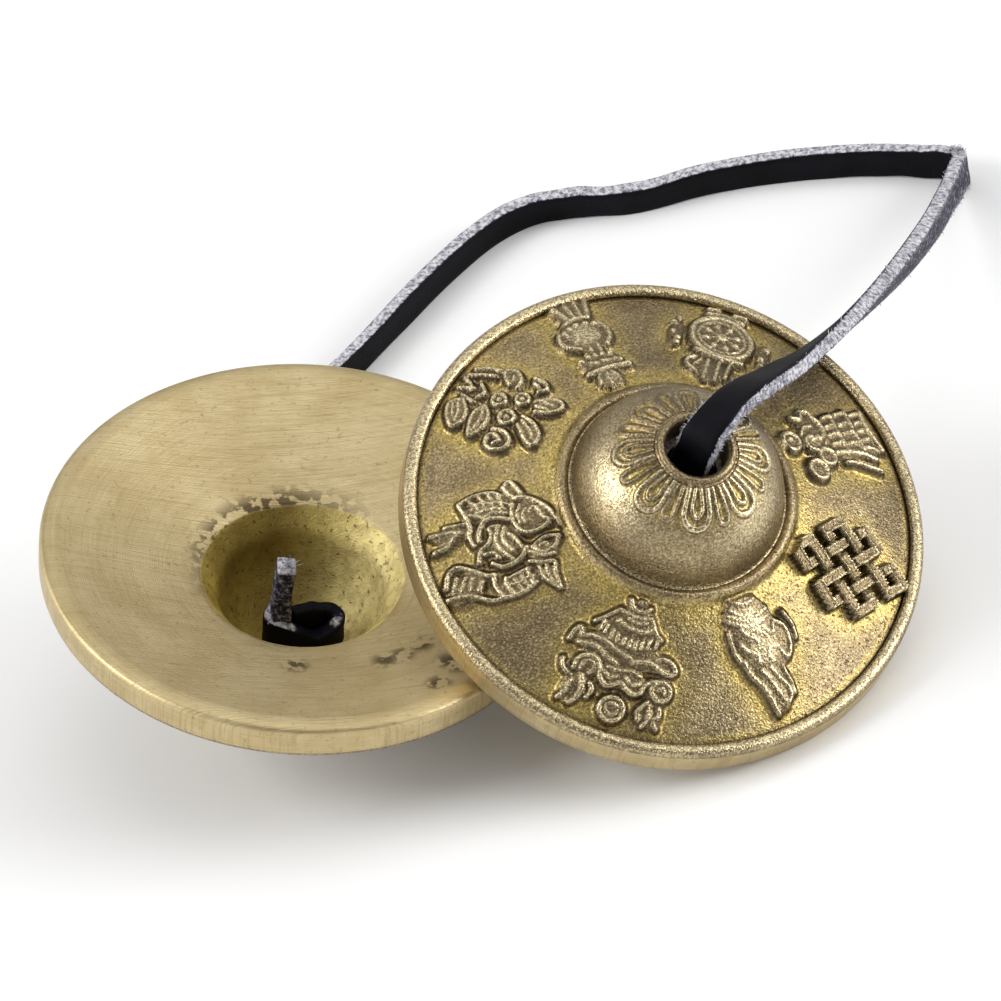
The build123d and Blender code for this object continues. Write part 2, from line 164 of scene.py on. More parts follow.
lotus_bosses = [
    (-2.4, 4.6, 1.3, 2, 8, 0.36), (2.1, 4, 1.3, 2.2, -42, 0.36), (0.95, 0.45, 0.5, 0.5, 0, 0.55),
    (-1.1, -1.65, 0.45, 0.45, 0, 0.55), (-2.2, 1.05, 0.4, 0.45, 0, 0.55), (2.7, -2.6, 2.4, 0.9, 8, 0.4),
    (2.4, -5.8, 2.2, 1.1, 14, 0.4), (-4.7, -1.6, 1.2, 1.1, 0, 0.36)]
lotus_rings = [(0.5, 0.95, 0.45, 0.95), (0.5, -1.1, -1.65, 0.85), (0.45, -2.2, 1.05, 0.8)]
lotus_ridges = {
    0.4: [[(1.4, -6.7), (2.9, -6.1)]],
    0.45: [[(-1.8, 3.1), (-1.7, 5)], [(-5.2, -1.6), (-4.3, -1.3)], [(0.9, -2.8), (2.4, -2.4), (4.2, -2.6)],
        [(1.1, -6.2), (2.4, -5.5), (3.7, -5.3)], [(0.3, -4.4), (-0.2, -6.4)]],
    0.5: [[(-2.6, 3.2), (-2.5, 5.3)], [(0.8, 2.5), (1.9, 4.3), (2.9, 5)], [(-5, 1.2), (-4.6, 2.2)],
        [(-4.3, -3.6), (-3.9, -5.2), (-3.2, -7)],
        [(0.3, -2.7), (1.7, -1.7), (3.5, -1.7), (5, -2.6), (3.5, -3.4), (1.5, -3.6), (0.3, -2.7)],
        [(0.4, -5.9), (1.6, -4.8), (3.3, -4.5), (4.5, -5.3), (3.3, -6.6), (1.4, -7.2), (0.4, -5.9)],
        [(-1.6, -5.4), (-1, -7.3)], [(-2.7, -7.2), (-2, -6), (-1.2, -5.6)]],
    0.55: [[(-2.3, 2.7), (-3.5, 4.8), (-3.2, 6.1), (-2.4, 6.2), (-1.4, 5.2), (-1, 3.4)],
        [(0.2, 2.3), (0.7, 4.1), (2, 5.5), (3.6, 5.5), (3.2, 4.2), (1.5, 2.3)],
        [(-3.6, -0.4), (-5, -0.5), (-5.9, -1.6), (-5.5, -2.8), (-4.5, -2.5), (-3.7, -1.5)],
        [(-5.3, -3.3), (-5.2, -4.6), (-4.4, -6.6)], [(-2.5, -4.8), (-1.5, -3.9), (-0.4, -4.4)]],
    0.6: [[(3.1, -0.3), (3, 1.2), (3.9, 2.4), (5.2, 2.3), (5.8, 1.1), (5.4, -0.1), (4.3, -0.4), (3.8, 0.4),
         (4.3, 1.2), (5, 0.8)], [(-5.7, 1), (-5.5, 2.5), (-4.6, 3.2), (-3.9, 2.4)]]}

two_fish_bosses = [
    (-6, 0.8, 1.4, 3.6, 0, 0.3), (-2.8, 5.5, 2.2, 2.2, 0, 0.35), (4.5, 0.6, 1.4, 3, 0, 0.3),
    (2.2, 5, 1.2, 1.9, 0, 0.3), (2.8, -5.2, 1.6, 3, 32, 0.3), (-4.4, -4.6, 1.2, 2.6, -12, 0.3),
    (-0.8, 1, 2.2, 2.2, 0, 0.25), (-6.6, 4.5, 1, 0.8, 0, 0.3), (5.2, 4.6, 1.3, 0.8, 0, 0.25)]
two_fish_ridges = {
    0.4: [[(-7.4, -0.8), (-6.4, -0.1), (-5.6, -0.7)], [(-7.4, 0.5), (-6.4, 0.8), (-5.3, 0.2)],
        [(-7.2, 1.7), (-6.1, 1.8), (-5.1, 1.3)], [(-6.4, 2.6), (-5.4, 2.7), (-4.6, 2.2)],
        [(-6.4, -0.9), (-6.7, 0.4), (-6.2, 1.3), (-5.8, 2.4), (-5, 3.4)],
        [(-5.6, -0.4), (-5.6, 0.7), (-5.2, 1.8), (-4.6, 2.9)], [(1.4, 5), (1.4, 5.6), (1.9, 5.8)],
        [(3.9, 4.7), (5.2, 4.5), (6.4, 4.8)], [(3.5, 0.5), (4.7, 0.6), (5.6, 0.9)],
        [(3.5, 1.5), (4.6, 1.4), (5.5, 1.8)], [(3.4, 2.3), (4.6, 2.4), (5.4, 2.4)],
        [(3.6, -0.5), (3.6, 0.4), (3.5, 1.3), (3.4, 2.5)],
        [(4.5, -0.4), (4.6, 0.8), (4.5, 1.8), (4.5, 2.6)], [(0.9, -6), (2.5, -7)], [(1.4, -5), (2.7, -6)],
        [(1.9, -4.1), (3.2, -5)], [(2.6, -3.2), (3.7, -4.1)]],
    0.42: [[(-4.4, 4.6), (-3.4, 3.8), (-2.1, 3.8)], [(-3.6, 5), (-2.8, 4.3), (-1.9, 4.3)]],
    0.45: [[(-3.1, 5.3), (-3.5, 6), (-2.5, 6.5), (-1.8, 6.6), (-1, 7.3)],
        [(3.8, 3.8), (5.3, 3.9), (6.1, 4.4), (7.2, 5.2)]],
    0.5: [[(-5.8, -1.5), (-4.8, 0), (-4.9, 1), (-4.1, 2.7)], [(-5.3, -6.9), (-4.9, -5.2), (-4.4, -3.5)],
        [(-5.6, -4.9), (-5.3, -3.6), (-5, -2.4)], [(1.2, 3.9), (0.7, 5.7), (1.2, 7.4)],
        [(1.2, 3.9), (2.4, 4.9), (2.2, 6.4), (1.3, 7.4)], [(1.6, 3.4), (2.7, 4.6), (3, 6.1)],
        [(2.7, 2.9), (3.5, 4.4), (3.9, 5.7), (5.2, 5.4), (7.2, 5.3)],
        [(2.7, -1.8), (3.9, -2), (5.6, -1.5)], [(3.4, -0.5), (4.6, -0.6), (5.7, -0.1)],
        [(-2.6, 1.8), (-1.4, 1.1), (-0.4, 1.2), (0.6, 1.6)], [(-1.6, 1.9), (-0.8, 2.4), (0.7, 2.8)],
        [(-2.7, 1), (-1.8, 0.3), (-0.6, 0.2), (0.7, 0.7), (1.6, 1.2)],
        [(-0.3, -1.8), (-0.1, -0.7), (0.8, -0.3)]],
    0.55: [[(-7.7, -2.2), (-7.9, 0), (-7.4, 2.1), (-6.5, 3)],
        [(-0.8, 6.9), (-0.5, 5.2), (-1, 3.7), (-2.3, 3.1), (-3.6, 3.2), (-5, 3.8)],
        [(5.6, -1.5), (5.9, 0), (5.8, 1.5), (5.4, 2.8)],
        [(3.1, -8), (3.7, -5.4), (5.3, -3.1), (5.6, -1.7)],
        [(0.4, -2.8), (-0.9, -2.1), (-1.4, -0.9), (-2.3, -0.1), (-3.2, 0), (-3, 1.2)]],
    0.6: [[(-7.4, 3.6), (-7.8, 4.7), (-5.8, 5.3), (-5.6, 4.3), (-7.4, 3.6)],
        [(-5.4, 4.3), (-4.8, 5.9), (-2.6, 7.5), (0, 8.2)],
        [(-7.4, -2.2), (-5.9, -2), (-4.5, -2), (-3.2, -2.6), (-1.9, -2.5)],
        [(-2.1, -1.7), (-3.2, -1.4), (-4.3, -0.2), (-4.1, 1.3), (-3.2, 2.8)],
        [(-3.1, -7.2), (-3.2, -5.6), (-3.8, -4.4), (-4.2, -3.4)],
        [(1.7, -7.7), (0.2, -6.8), (-0.2, -5.4), (1.1, -3.7), (2.2, -2.5), (2.5, -1.6)],
        [(1.1, -1.3), (2, -0.3), (2.1, 1.3), (1.6, 2.5), (0.9, 3.3)]]}

parasol_bosses = [
    (0, 4.3, 3.2, 2.6, 0, 0.4), (0.1, 7.5, 0.7, 0.6, 0, 0.5), (-0.2, 1.2, 6.6, 1.9, 0, 0.4),
    (-3.7, -1.5, 1.7, 1.5, 0, 0.34), (5.4, -1.7, 1.5, 1.5, 0, 0.34), (0.6, -1.7, 3, 1.6, 0, 0.34),
    (0.5, -5.8, 1.3, 1.3, 0, 0.28), (-4.9, -4.9, 1.6, 2, 0, 0.22), (5.2, -5, 1.7, 1.8, 0, 0.22)]
parasol_rings = [(0.55, 5.5, -1.8, 1.15), (0.55, 0.5, -5.8, 1.45), (0.4, 0.5, -5.8, 0.75)]
parasol_ridges = {
    0.4: [[(-1.5, -1.1), (-0.2, -1.2), (1.2, -0.8), (2.6, -1)]],
    0.45: [[(-1.8, -1.7), (-1, -2.3), (0, -1.9)], [(0.9, -1.7), (1.8, -2.3), (2.8, -1.9)],
        [(5, -1.9), (5.6, -1.4), (6, -2)], [(4.7, -4.2), (5, -5.4), (4.6, -6.6)]],
    0.5: [[(-1.9, 5.9), (0, 5.6), (1.6, 6)], [(-1, 5.2), (0.2, 5), (1.3, 5.3)],
        [(-2.2, 6), (-3.6, 4.6), (-4.6, 3.8)], [(1.8, 5.9), (2.7, 4.6), (3.6, 4)],
        [(-4.5, -2.3), (-4.2, -1.3), (-3.3, -1.1), (-2.9, -1.9), (-3.4, -2.5)],
        [(-5.2, -4), (-5.4, -5.2), (-6.1, -6.4)], [(-6.9, -1.6), (-6.6, -2.6), (-5.9, -3.2)],
        [(4.3, -3.6), (3.6, -4.9), (3.9, -6)], [(5.9, -3.8), (6.2, -4.6), (5.6, -5.5), (6.3, -6.3)],
        [(-2.9, -3.6), (-2.4, -4.4), (-2.8, -5.4)]],
    0.55: [[(-1.3, 7.5), (-0.7, 6.6), (0.4, 6.4), (1.2, 7.1)],
        [(-2, 4.6), (-0.6, 4.1), (0.9, 4.1), (2.1, 4.6)],
        [(-5.6, 0.8), (-3.4, 0.8), (-2.1, 0.1), (-0.6, -0.5)]],
    0.6: [[(-6.9, 0.9), (-6.6, 1.9), (-6, 2.6), (-5.4, 1.7), (-4.2, 2), (-2.6, 1.7), (-1.2, 1.1),
         (0.8, 0.6)],
        [(1, 0.2), (2.3, 0.8), (3.4, 0.9), (4.6, 0.5), (5.8, 0.4), (6.4, 1), (5.8, 1.8), (4.6, 2),
         (3.8, 1.5)],
        [(-5.3, -2.4), (-5.1, -1.1), (-4, -0.4), (-2.9, -0.7), (-2.3, -1.7), (-1.9, -2.7), (-1.1, -3.3),
         (-0.2, -3), (0.5, -2.4), (1.2, -2.9), (2.3, -3.3), (3.2, -2.8), (3.4, -1.9), (4.1, -1.1),
         (5.2, -0.7)], [(-4.1, -3), (-3.6, -4.5), (-3.9, -5.8), (-4.6, -6.6)]]}
fringe_feet = [(-3.6, 3.1), (-3.1, 2.8), (-2.3, 2.3), (-1.5, 2.1), (-0.7, 1.9), (0.1, 1.9), (0.8, 1.9),
               (1.5, 2.1), (2.3, 2.5), (3.2, 2.9)]
parasol_ridges[0.48] = [[(across, low), (across + 0.05, low + 0.9)] for across, low in fringe_feet]

conch_bosses = [
    (-0.2, 4.6, 3.2, 4, 12, 0.52), (0.2, 1.2, 3.8, 3.6, 0, 0.5), (-0.5, -2.6, 1.9, 4.6, 10, 0.42),
    (2.6, 1.4, 1.9, 2.6, 0, 0.42)]
conch_ridges = {
    0.45: [[(1.6, -1.8), (1.9, -3.6), (1.8, -5.2)], [(-3.3, 4.6), (-3.5, 2.4), (-3.3, 0.8)]],
    0.5: [[(-2.1, 7), (-0.8, 5.8), (0.8, 5.3), (2.3, 5.7)], [(-1.5, 8), (-0.1, 7.1), (1.3, 7.3)],
        [(-2.9, 6), (-1.5, 4.8), (0.3, 4.3), (2.2, 4.8)], [(-2.7, 6.6), (-1.2, 5.4), (0.6, 4.8)],
        [(-0.5, 3.9), (0.6, 3.3), (1.2, 2.4)], [(0.9, 3.9), (1.9, 2.6), (2.4, 3.6)],
        [(4.3, 4.4), (4.8, 2.8), (4.7, 1)]],
    0.55: [[(-1.8, 4.5), (-1.2, 3.4), (-0.3, 2.5), (-0.4, 1.9)]],
    0.6: [[(-2.5, 2.7), (-1.8, 1.5), (-0.9, 0.7), (-1.1, -0.1)],
        [(-1.2, -1.1), (-0.6, -2.4), (-0.2, -4), (0.3, -5.6)],
        [(0.1, -1.1), (0.6, -2.6), (1.3, -4), (1.2, -5.3), (0.6, -5.9)],
        [(-2.9, 0.6), (-2.6, -1.2), (-1.7, -3.2), (-1.1, -6.8)]],
    0.65: [[(2.6, 4), (3.6, 3), (3.8, 1.6), (3.5, 0.2), (2.7, -0.8), (2.2, 0.1), (1.9, 0.9), (0.9, 1),
         (0.4, 0.2), (0.7, -0.7)]]}

banner_bosses = [
    (0.6, 6.6, 1.5, 1.6, 0, 0.45), (-3.7, 4.9, 1.4, 1.5, 0, 0.4), (-2.3, 2.4, 1.3, 1.3, 0, 0.4),
    (1.5, 2.9, 2.9, 2.2, 0, 0.4), (-0.3, -2.8, 3.2, 4.4, 0, 0.34), (0.9, 6.8, 0.5, 0.5, 0, 0.62)]
banner_rings = [(0.75, 0.6, 6.8, 1.2), (0.7, -3.75, 4.85, 1.25), (0.7, -2.3, 2.35, 1.1)]
banner_ridges = {
    0.5: [[(-2.6, -1.5), (0.2, -1.45), (3.2, -1.7)], [(-3.2, -3.95), (0.2, -4.05), (3.4, -4.3)]],
    0.6: [[(1.4, 4.5), (2.1, 3.8), (2.1, 2.4)], [(3.3, 3.4), (3.8, 4.7)], [(0.2, 3.3), (0.6, 2.2)],
        [(-3.6, -0.3), (-3.9, -1.6), (-4.6, -2.9), (-5.7, -4.9)]],
    0.65: [[(-1.3, 3.4), (-0.7, 4.4), (0.4, 4.4), (0.8, 3.6), (0.3, 2.7)]],
    0.75: [[(0.2, 2), (0.7, 1), (2, 0.75), (3.1, 1.3), (4.2, 1.8), (4.3, 2.8), (3.6, 3.2)],
        [(-2.2, -3.9), (-2.3, -4.9), (-3, -6)]],
    0.8: [[(-3, -6.8), (-1.2, -6.5), (0.6, -6.35), (2.6, -6.6)]],
    0.85: [[(-2.1, 0.6), (-2.3, -1.4), (-2.8, -3.2), (-4, -5)]]}
pleat_feet = [(-0.8, -1.0, 1.3), (0.5, -1.1, 1.3), (1.7, -1.1, 1.1), (3.0, -1.3, 1.1), (-1.2, -3.4, 1.6),
              (0.3, -3.7, 1.7), (1.6, -3.6, 1.4), (3.1, -3.7, 1.3), (-1.1, -5.7, 1.3), (0.2, -5.7, 1.1),
              (1.35, -5.7, 1.0), (2.6, -5.9, 1.2)]
banner_ridges[0.62] = [[(across, low), (across - 0.1, low + rise)] for across, low, rise in pleat_feet]

wheel_bosses = [
    (-0.2, -2, 4, 4, 0, 0.34), (-0.2, -2, 0.8, 0.8, 0, 0.72), (0.6, 4.8, 2.6, 2.6, 0, 0.3),
    (5.4, -0.6, 1.1, 3, 0, 0.28), (-5.7, -1.6, 1, 2.6, 0, 0.28), (5.1, 1.4, 0.6, 0.5, 0, 0.62),
    (5.1, 0.5, 0.6, 0.5, 30, 0.62), (5.8, -0.5, 0.55, 0.6, 0, 0.6), (5.9, -2.4, 0.7, 0.5, 0, 0.6),
    (5.4, -3.6, 0.5, 0.6, 0, 0.55), (-6, -2.7, 0.7, 0.6, 0, 0.6), (-5.4, -0.6, 0.6, 0.6, 0, 0.6),
    (-5.6, 0.6, 0.6, 0.5, 0, 0.55)]
wheel_rings = [(0.9, -0.2, -2, 3.75), (0.4, -0.2, -2, 2.95)]
wheel_ridges = {
    0.5: [[(2.3, 4.8), (1.6, 3.4)], [(-2.6, -7.4), (-1, -7.3)], [(0.9, -7.4), (2.2, -7)]],
    0.6: [[(-1.7, 5.6), (-1.9, 3)], [(-0.5, 6.6), (-0.6, 3.1)], [(0.9, 7), (0.8, 3.2)],
        [(-2.3, -6.2), (0, -6.5), (2.2, -6)]],
    0.65: [[(2, 6), (3.1, 5.2), (3.2, 4), (2.4, 3.2)]],
    0.95: [[(-3.2, 1.75), (-1.4, 2), (0.6, 2), (2.5, 1.7)]]}
hub_across, hub_up = -0.2, -2.0
wheel_ridges[0.32] = []
for spoke in range(8):
    lean = math.radians(22.5 + 45 * spoke)
    wheel_bosses.append((hub_across + 2 * math.cos(lean), hub_up + 2 * math.sin(lean), 0.5, 0.5, 0, 0.66))
    rim_end = (hub_across + 3 * math.cos(lean), hub_up + 3 * math.sin(lean))
    wheel_ridges[0.32].append([(hub_across, hub_up), rim_end])

# The castings' pattern was cut by eye, so the bearings aren't even steps
emblems = [(106.0, vase_bosses, [], vase_ridges),
           (142.5, lotus_bosses, lotus_rings, lotus_ridges),
           (192.5, two_fish_bosses, [], two_fish_ridges),
           (244.5, parasol_bosses, parasol_rings, parasol_ridges),
           (290.0, conch_bosses, [], conch_ridges),
           (19.0, banner_bosses, banner_rings, banner_ridges),
           (65.0, wheel_bosses, wheel_rings, wheel_ridges)]
knot_bearing = 334.0

# Relief: a body with steep sides, and on it rounded crests that hands have rubbed
body_height = 0.6
crest_height = 0.45
boss_steepness = 5
boss_crest = 1.7
ridge_margin = 0.5
ridge_wall = 0.25
ridge_round = 0.52
tile_half_angle = 24
bearings = np.linspace(0, 360, fine_steps, endpoint=False)
plate_radius = profile[plate_first:plate_last, 0]
plate_slope = math.atan2(plate_head[1] - plate_foot[1], plate_foot[0] - plate_head[0])
plate_body = np.zeros((len(plate_radius), fine_steps))
plate_crest = np.zeros_like(plate_body)
tile = (len(plate_radius), -1)


def turned_from(all_bearings, bearing):
    return (all_bearings - bearing + 180) % 360 - 180


def on_tile(bearing):
    """The plate's columns near an emblem, and the place across and up of each spot there on its tile."""
    turn = turned_from(bearings, bearing)
    near = np.abs(turn) < tile_half_angle
    apart = np.radians(turn[near])
    across = np.outer(plate_radius, np.sin(apart))
    up = (emblem_circle_radius - np.outer(plate_radius, np.cos(apart))) / math.cos(plate_slope)
    return near, np.stack([across.ravel(), up.ravel()], 1)


for bearing, bosses, rings, ridges in emblems:
    near, spots = on_tile(bearing)
    body = np.zeros(len(spots))
    crest = np.zeros(len(spots))
    for boss in bosses:
        raised = mound(spots, *boss)
        body = np.maximum(body, np.clip(raised * boss_steepness, 0, 1))
        crest = np.maximum(crest, boss_crest * raised)
    drawn = [(width, away_from_ring(across, up, radius, spots)) for width, across, up, radius in rings]
    drawn += [(width, away_from(smooth_line(line), spots)) for width in ridges for line in ridges[width]]
    for width, off in drawn:
        # A rounded ridge on a solid body that reaches a little beyond it
        body = np.maximum(body, np.clip((width / 2 + ridge_margin - off) / ridge_wall, 0, 1))
        crest = np.maximum(crest, np.sqrt(np.clip(1 - (off / (ridge_round * width)) ** 2, 0, None)))
    plate_body[:, near] = np.maximum(plate_body[:, near], body.reshape(tile))
    plate_crest[:, near] = np.maximum(plate_crest[:, near], crest.reshape(tile))

# The endless knot: flat bands with upright sides on a slanting lattice, woven over and under
knot_middle = (-0.4, 0.4)
knot_slope_up = (math.cos(math.radians(61)), math.sin(math.radians(61)))
knot_slope_down = (math.cos(math.radians(-36)), math.sin(math.radians(-36)))
knot_step = 2.75
knot_end = 5.35
knot_band = 1.52
knot_height = 2.2
knot_margin = 0.14
knot_wall = 0.34
border_place = 0.54
border_width = 0.15
crossing_half_width = 0.8
crossing_half_length = 0.85
dip_place = 0.9
dip_width = 0.15
dip_depth = 0.7
dip_shade = 0.8
knot_steps = (-knot_step, 0.0, knot_step)


def on_knot(up_slope, down_slope):
    """Place on the endless knot's slanting lattice."""
    return np.array([middle + up_slope * up_way + down_slope * down_way for middle, up_way, down_way
                     in zip(knot_middle, knot_slope_up, knot_slope_down)])


def knot_crest(off):
    """Flat top of a knot band with a narrow raised border along both sides."""
    return np.maximum(0.4, np.exp(-(((off - border_place) / border_width) ** 2)))


knot_bands = [(on_knot(-knot_end, step), on_knot(knot_end, step)) for step in knot_steps]
knot_bands += [(on_knot(step, -knot_end), on_knot(step, knot_end)) for step in knot_steps]
for side in (-1, 1):
    end = knot_end * side
    step = knot_step * side
    for first, last in (((end, 0), (end, step)), ((0, end), (step, end)),
                        ((end, -step), (end, -end)), ((end, -end), (step, -end))):
        knot_bands.append((on_knot(*first), on_knot(*last)))
near, spots = on_tile(knot_bearing)
body = np.zeros(len(spots))
crest = np.zeros(len(spots))
for band in knot_bands:
    off = away_from(band, spots)
    body = np.maximum(body, knot_height * np.clip((knot_band / 2 + knot_margin - off) / knot_wall, 0, 1))
    crest = np.where(off < knot_band / 2, knot_crest(off), crest)
across, up = (spots - knot_middle).T
spread = knot_slope_up[0] * knot_slope_down[1] - knot_slope_up[1] * knot_slope_down[0]
along_up = (across * knot_slope_down[1] - up * knot_slope_down[0]) / spread
along_down = (knot_slope_up[0] * up - knot_slope_up[1] * across) / spread
for row, up_slope in enumerate(knot_steps):
    for column, down_slope in enumerate(knot_steps):
        over = np.abs(along_down - down_slope)
        under = np.abs(along_up - up_slope)
        if (row + column) % 2:
            over, under = under, over
        crossing = (over < crossing_half_width) & (under < crossing_half_length)
        crest[crossing] = knot_crest(over[crossing])
        dip = np.clip(1.2 - np.abs(over - dip_place) / dip_width, 0, 1) * (under < crossing_half_width)
        body -= dip_depth * dip
        crest *= 1 - dip_shade * dip
plate_body[:, near] += body.reshape(tile)
plate_crest[:, near] += crest.reshape(tile)
plate_relief = body_height * plate_body + crest_height * plate_crest

# The rosette: wide petals with a second outline inside, and a slim one between each two.
# For each outline: width, rise, points out from the hole and to the side.
wide_petal = [(0.85, 0.45, [(4.6, -0.95), (6.4, -1.3), (8.0, -1.55), (9.0, -1.1), (9.4, 0), (9.0, 1.1),
                            (8.0, 1.55), (6.4, 1.3), (4.6, 0.95)]),
              (0.66, 0.42, [(4.6, -0.2), (6.4, -0.5), (7.6, -0.62), (8.3, 0), (7.6, 0.62), (6.4, 0.5),
                            (4.6, 0.2)])]
slim_petal = [(0.7, 0.38, [(4.6, -0.28), (7.0, -0.55), (8.7, -0.62), (9.2, 0), (8.7, 0.62), (7.0, 0.55),
                           (4.6, 0.28)])]
petal_count = 8
petal_pitch = 360 / petal_count
petal_half_angle = 26
first_petals = ((38, wide_petal), (60.5, slim_petal))
petal_drift = np.random.default_rng(3).uniform(-1.8, 1.8, (petal_count, 2))
dome_radius = profile[dome_first:dome_last, 0]
dome_bearings = np.linspace(0, 360, plain_steps, endpoint=False)
dome_relief = np.zeros((len(dome_radius), plain_steps))
for petal in range(petal_count):
    for (first, outlines), drift in zip(first_petals, petal_drift[petal]):
        turn = turned_from(dome_bearings, first + petal_pitch * petal + drift)
        near = np.abs(turn) < petal_half_angle
        apart = np.radians(turn[near])
        spots = np.stack([np.outer(dome_radius, np.cos(apart)).ravel(),
                          np.outer(dome_radius, np.sin(apart)).ravel()], 1)
        for width, rise, outline in outlines:
            off = away_from(smooth_line(outline), spots) / (width / 2)
            raised = rise * np.sqrt(np.clip(1 - off**2, 0, None)).reshape(len(dome_radius), -1)
            dome_relief[:, near] = np.maximum(dome_relief[:, near], raised)

# Handling has worn the petals low on the side away from this bearing
best_petals = 310
dome_relief *= 0.86 + 0.14 * np.cos(np.radians(dome_bearings - best_petals))


def soften(field, passes):
    """Smooths a height field over its neighbours; it closes round the cymbal."""
    for step in range(passes):
        field = (np.roll(field, 1, 1) + 2 * field + np.roll(field, -1, 1)) / 4
        field = (np.vstack([field[:1], field[:-1]]) + 2 * field + np.vstack([field[1:], field[-1:]])) / 4
    return field


def wear_and_wall_shade(field, raised, crest):
    """Four masks: pale crests from handling, dirt in recesses together with painted shade on steep walls,
    yellow ground beside relief, raised tops.
    """
    steep = np.hypot(np.gradient(field, axis=0), np.gradient(field, axis=1))
    beside = soften((raised > 0.3).astype(float), 150)
    rubbed_and_highlit = (crest - 0.7) / 0.28
    recess = np.clip(raised * (1 - crest * 2), 0, 1)
    # Steep walls are darkened: painted shade
    wall = np.clip(steep * 4 - 1.8, 0, 1) * (1 - crest)
    yellow = np.clip(beside * 2.6, 0, 1) * (1 - raised)
    return np.clip(np.stack([rubbed_and_highlit, 0.7 * recess + 0.9 * wall, yellow, raised], -1), 0, 1)


casting_lumps = soften(np.random.default_rng(7).normal(0, 1, plate_relief.shape), 6)
plate_wear_and_shade = wear_and_wall_shade(plate_relief, np.clip(plate_body, 0, 1), np.clip(plate_crest, 0, 1))
plate_relief += 0.05 * casting_lumps
# The ground beside the dome's ring and the rim is yellow too
ring_side = np.clip((19.5 - plate_radius) / 3.5, 0, 1)
rim_side = 0.8 * np.clip((plate_radius - 29.5) / 0.8, 0, 1)
bare_ground = 1 - plate_wear_and_shade[..., 3]
plate_wear_and_shade[..., 2] = np.maximum(plate_wear_and_shade[..., 2], np.maximum(ring_side, rim_side)[:, None] * bare_ground)
dome_wear_and_shade = wear_and_wall_shade(dome_relief, np.clip(dome_relief * 6, 0, 1), np.clip(dome_relief / 0.42, 0, 1))
dome_wear_and_shade[..., 2] *= np.clip(np.arange(len(dome_radius)) / 14, 0, 1)[:, None]

# Small dark casting flaws on the dish, and painted highlights on two sides of the dome's shoulder
casting_flaws = [(8.2, 17.6), (10.4, 17.0), (12.9, 15.4), (15.6, 20.0), (16.6, 21.4), (13.8, 24.6),
                 (-2.6, 17.2)]
painted_highlight_sides = [(195, 40), (312, 30)]
dome_painted_highlight = sum(np.exp(-(((dome_bearings - bearing) / spread) ** 2)) for bearing, spread in painted_highlight_sides)
hollow_painted_light_bearing = math.radians(345)
hollow_painted_shade_bearing = math.radians(245)
dome_turn = np.radians(dome_bearings)
points, finish_and_painted_light, first_of_row, steps_of_row = [], [], [], []
for row, ((radius, up), (out, over)) in enumerate(zip(profile, outward)):
    if plate_first <= row < plate_last:
        lift, wear_and_painted_light = plate_relief[row - plate_first], plate_wear_and_shade[row - plate_first]
    elif dome_first <= row < dome_last:
        lift, wear_and_painted_light = dome_relief[row - dome_first], dome_wear_and_shade[row - dome_first]
    else:
        lift, wear_and_painted_light = np.zeros(plain_steps), np.zeros((plain_steps, 4))
    if lip_first <= row < plate_first:
        # The lip is rubbed, and the corner at its foot is darkened as painted shade
        wear_and_painted_light[:, 0] = 0.55 * np.clip((row - lip_first) / 3, 0, 1) * (row < plate_first - 3)
        wear_and_painted_light[:, 1] = 0.9 * (row >= plate_first - 3)
    if plate_last <= row < dome_first:
        # The dome's ring: yellow foot, a darkened groove and a bright line beside it
        ring_row = row - plate_last
        wear_and_painted_light[:, 2] = 0.9 * np.clip(1 - ring_row / 4, 0, 1)
        wear_and_painted_light[:, 1] = 0.6 * (ring_row in (7, 8))
        wear_and_painted_light[:, 0] = 0.5 * (ring_row in (9, 10))
    if plate_last + len(dome_ring) <= row < dome_last:
        # Painted highlights on two sides of the shoulder, laid into the pale mark
        shoulder = 0.75 * dome_painted_highlight * math.exp(-(((radius - 10.4) / 1.5) ** 2))
        wear_and_painted_light[:, 0] = np.maximum(wear_and_painted_light[:, 0], shoulder * (1 - wear_and_painted_light[:, 3]))
    if hole_last <= row < hollow_last:
        # The rough hollow has painted light on one side and painted shade on another
        wear_and_painted_light[:, 0] = np.clip(np.cos(dome_turn - hollow_painted_light_bearing), 0, 1) ** 1.5
        wear_and_painted_light[:, 1] = np.clip(np.cos(dome_turn - hollow_painted_shade_bearing), 0, 1) ** 1.5
        wear_and_painted_light[:, 2] = np.clip((hollow_last - 2 - row) / 3, 0, 1)
    if row >= hollow_last:
        flaws = [np.hypot(radius * np.cos(dome_turn) - x, radius * np.sin(dome_turn) - y)
                 for x, y in casting_flaws]
        wear_and_painted_light[:, 1] = np.clip(1.6 - np.min(flaws, axis=0) / 1.3, 0, 1)
    turn = np.linspace(0, 2 * math.pi, len(lift), endpoint=False)
    wide = radius + lift * out
    first_of_row.append(sum(steps_of_row))
    steps_of_row.append(len(lift))
    points.append(np.stack([wide * np.cos(turn), wide * np.sin(turn), up + lift * over], 1))
    finish_and_painted_light.append(wear_and_painted_light)
points = np.vstack(points)
finish_and_painted_light = np.vstack(finish_and_painted_light)

# Faces between each two rows; a fine row meets a plain one two steps to one
faces, face_rows = [], []
for row in range(len(profile)):
    after = (row + 1) % len(profile)
    low, high = first_of_row[row], first_of_row[after]
    few, many = steps_of_row[row], steps_of_row[after]
    for i in range(min(few, many)):
        j = (i + 1) % min(few, many)
        if few == many:
            faces.append((low + i, low + j, high + j, high + i))
        elif few < many:
            faces.append((low + i, low + j, high + (2 * i + 2) % many, high + 2 * i + 1, high + 2 * i))
        else:
            faces.append((low + 2 * i, low + 2 * i + 1, low + (2 * i + 2) % few, high + j, high + i))
        face_rows.append(row)
cast_skin_kept = (np.array(face_rows) >= lip_first) & (np.array(face_rows) < hole_last)


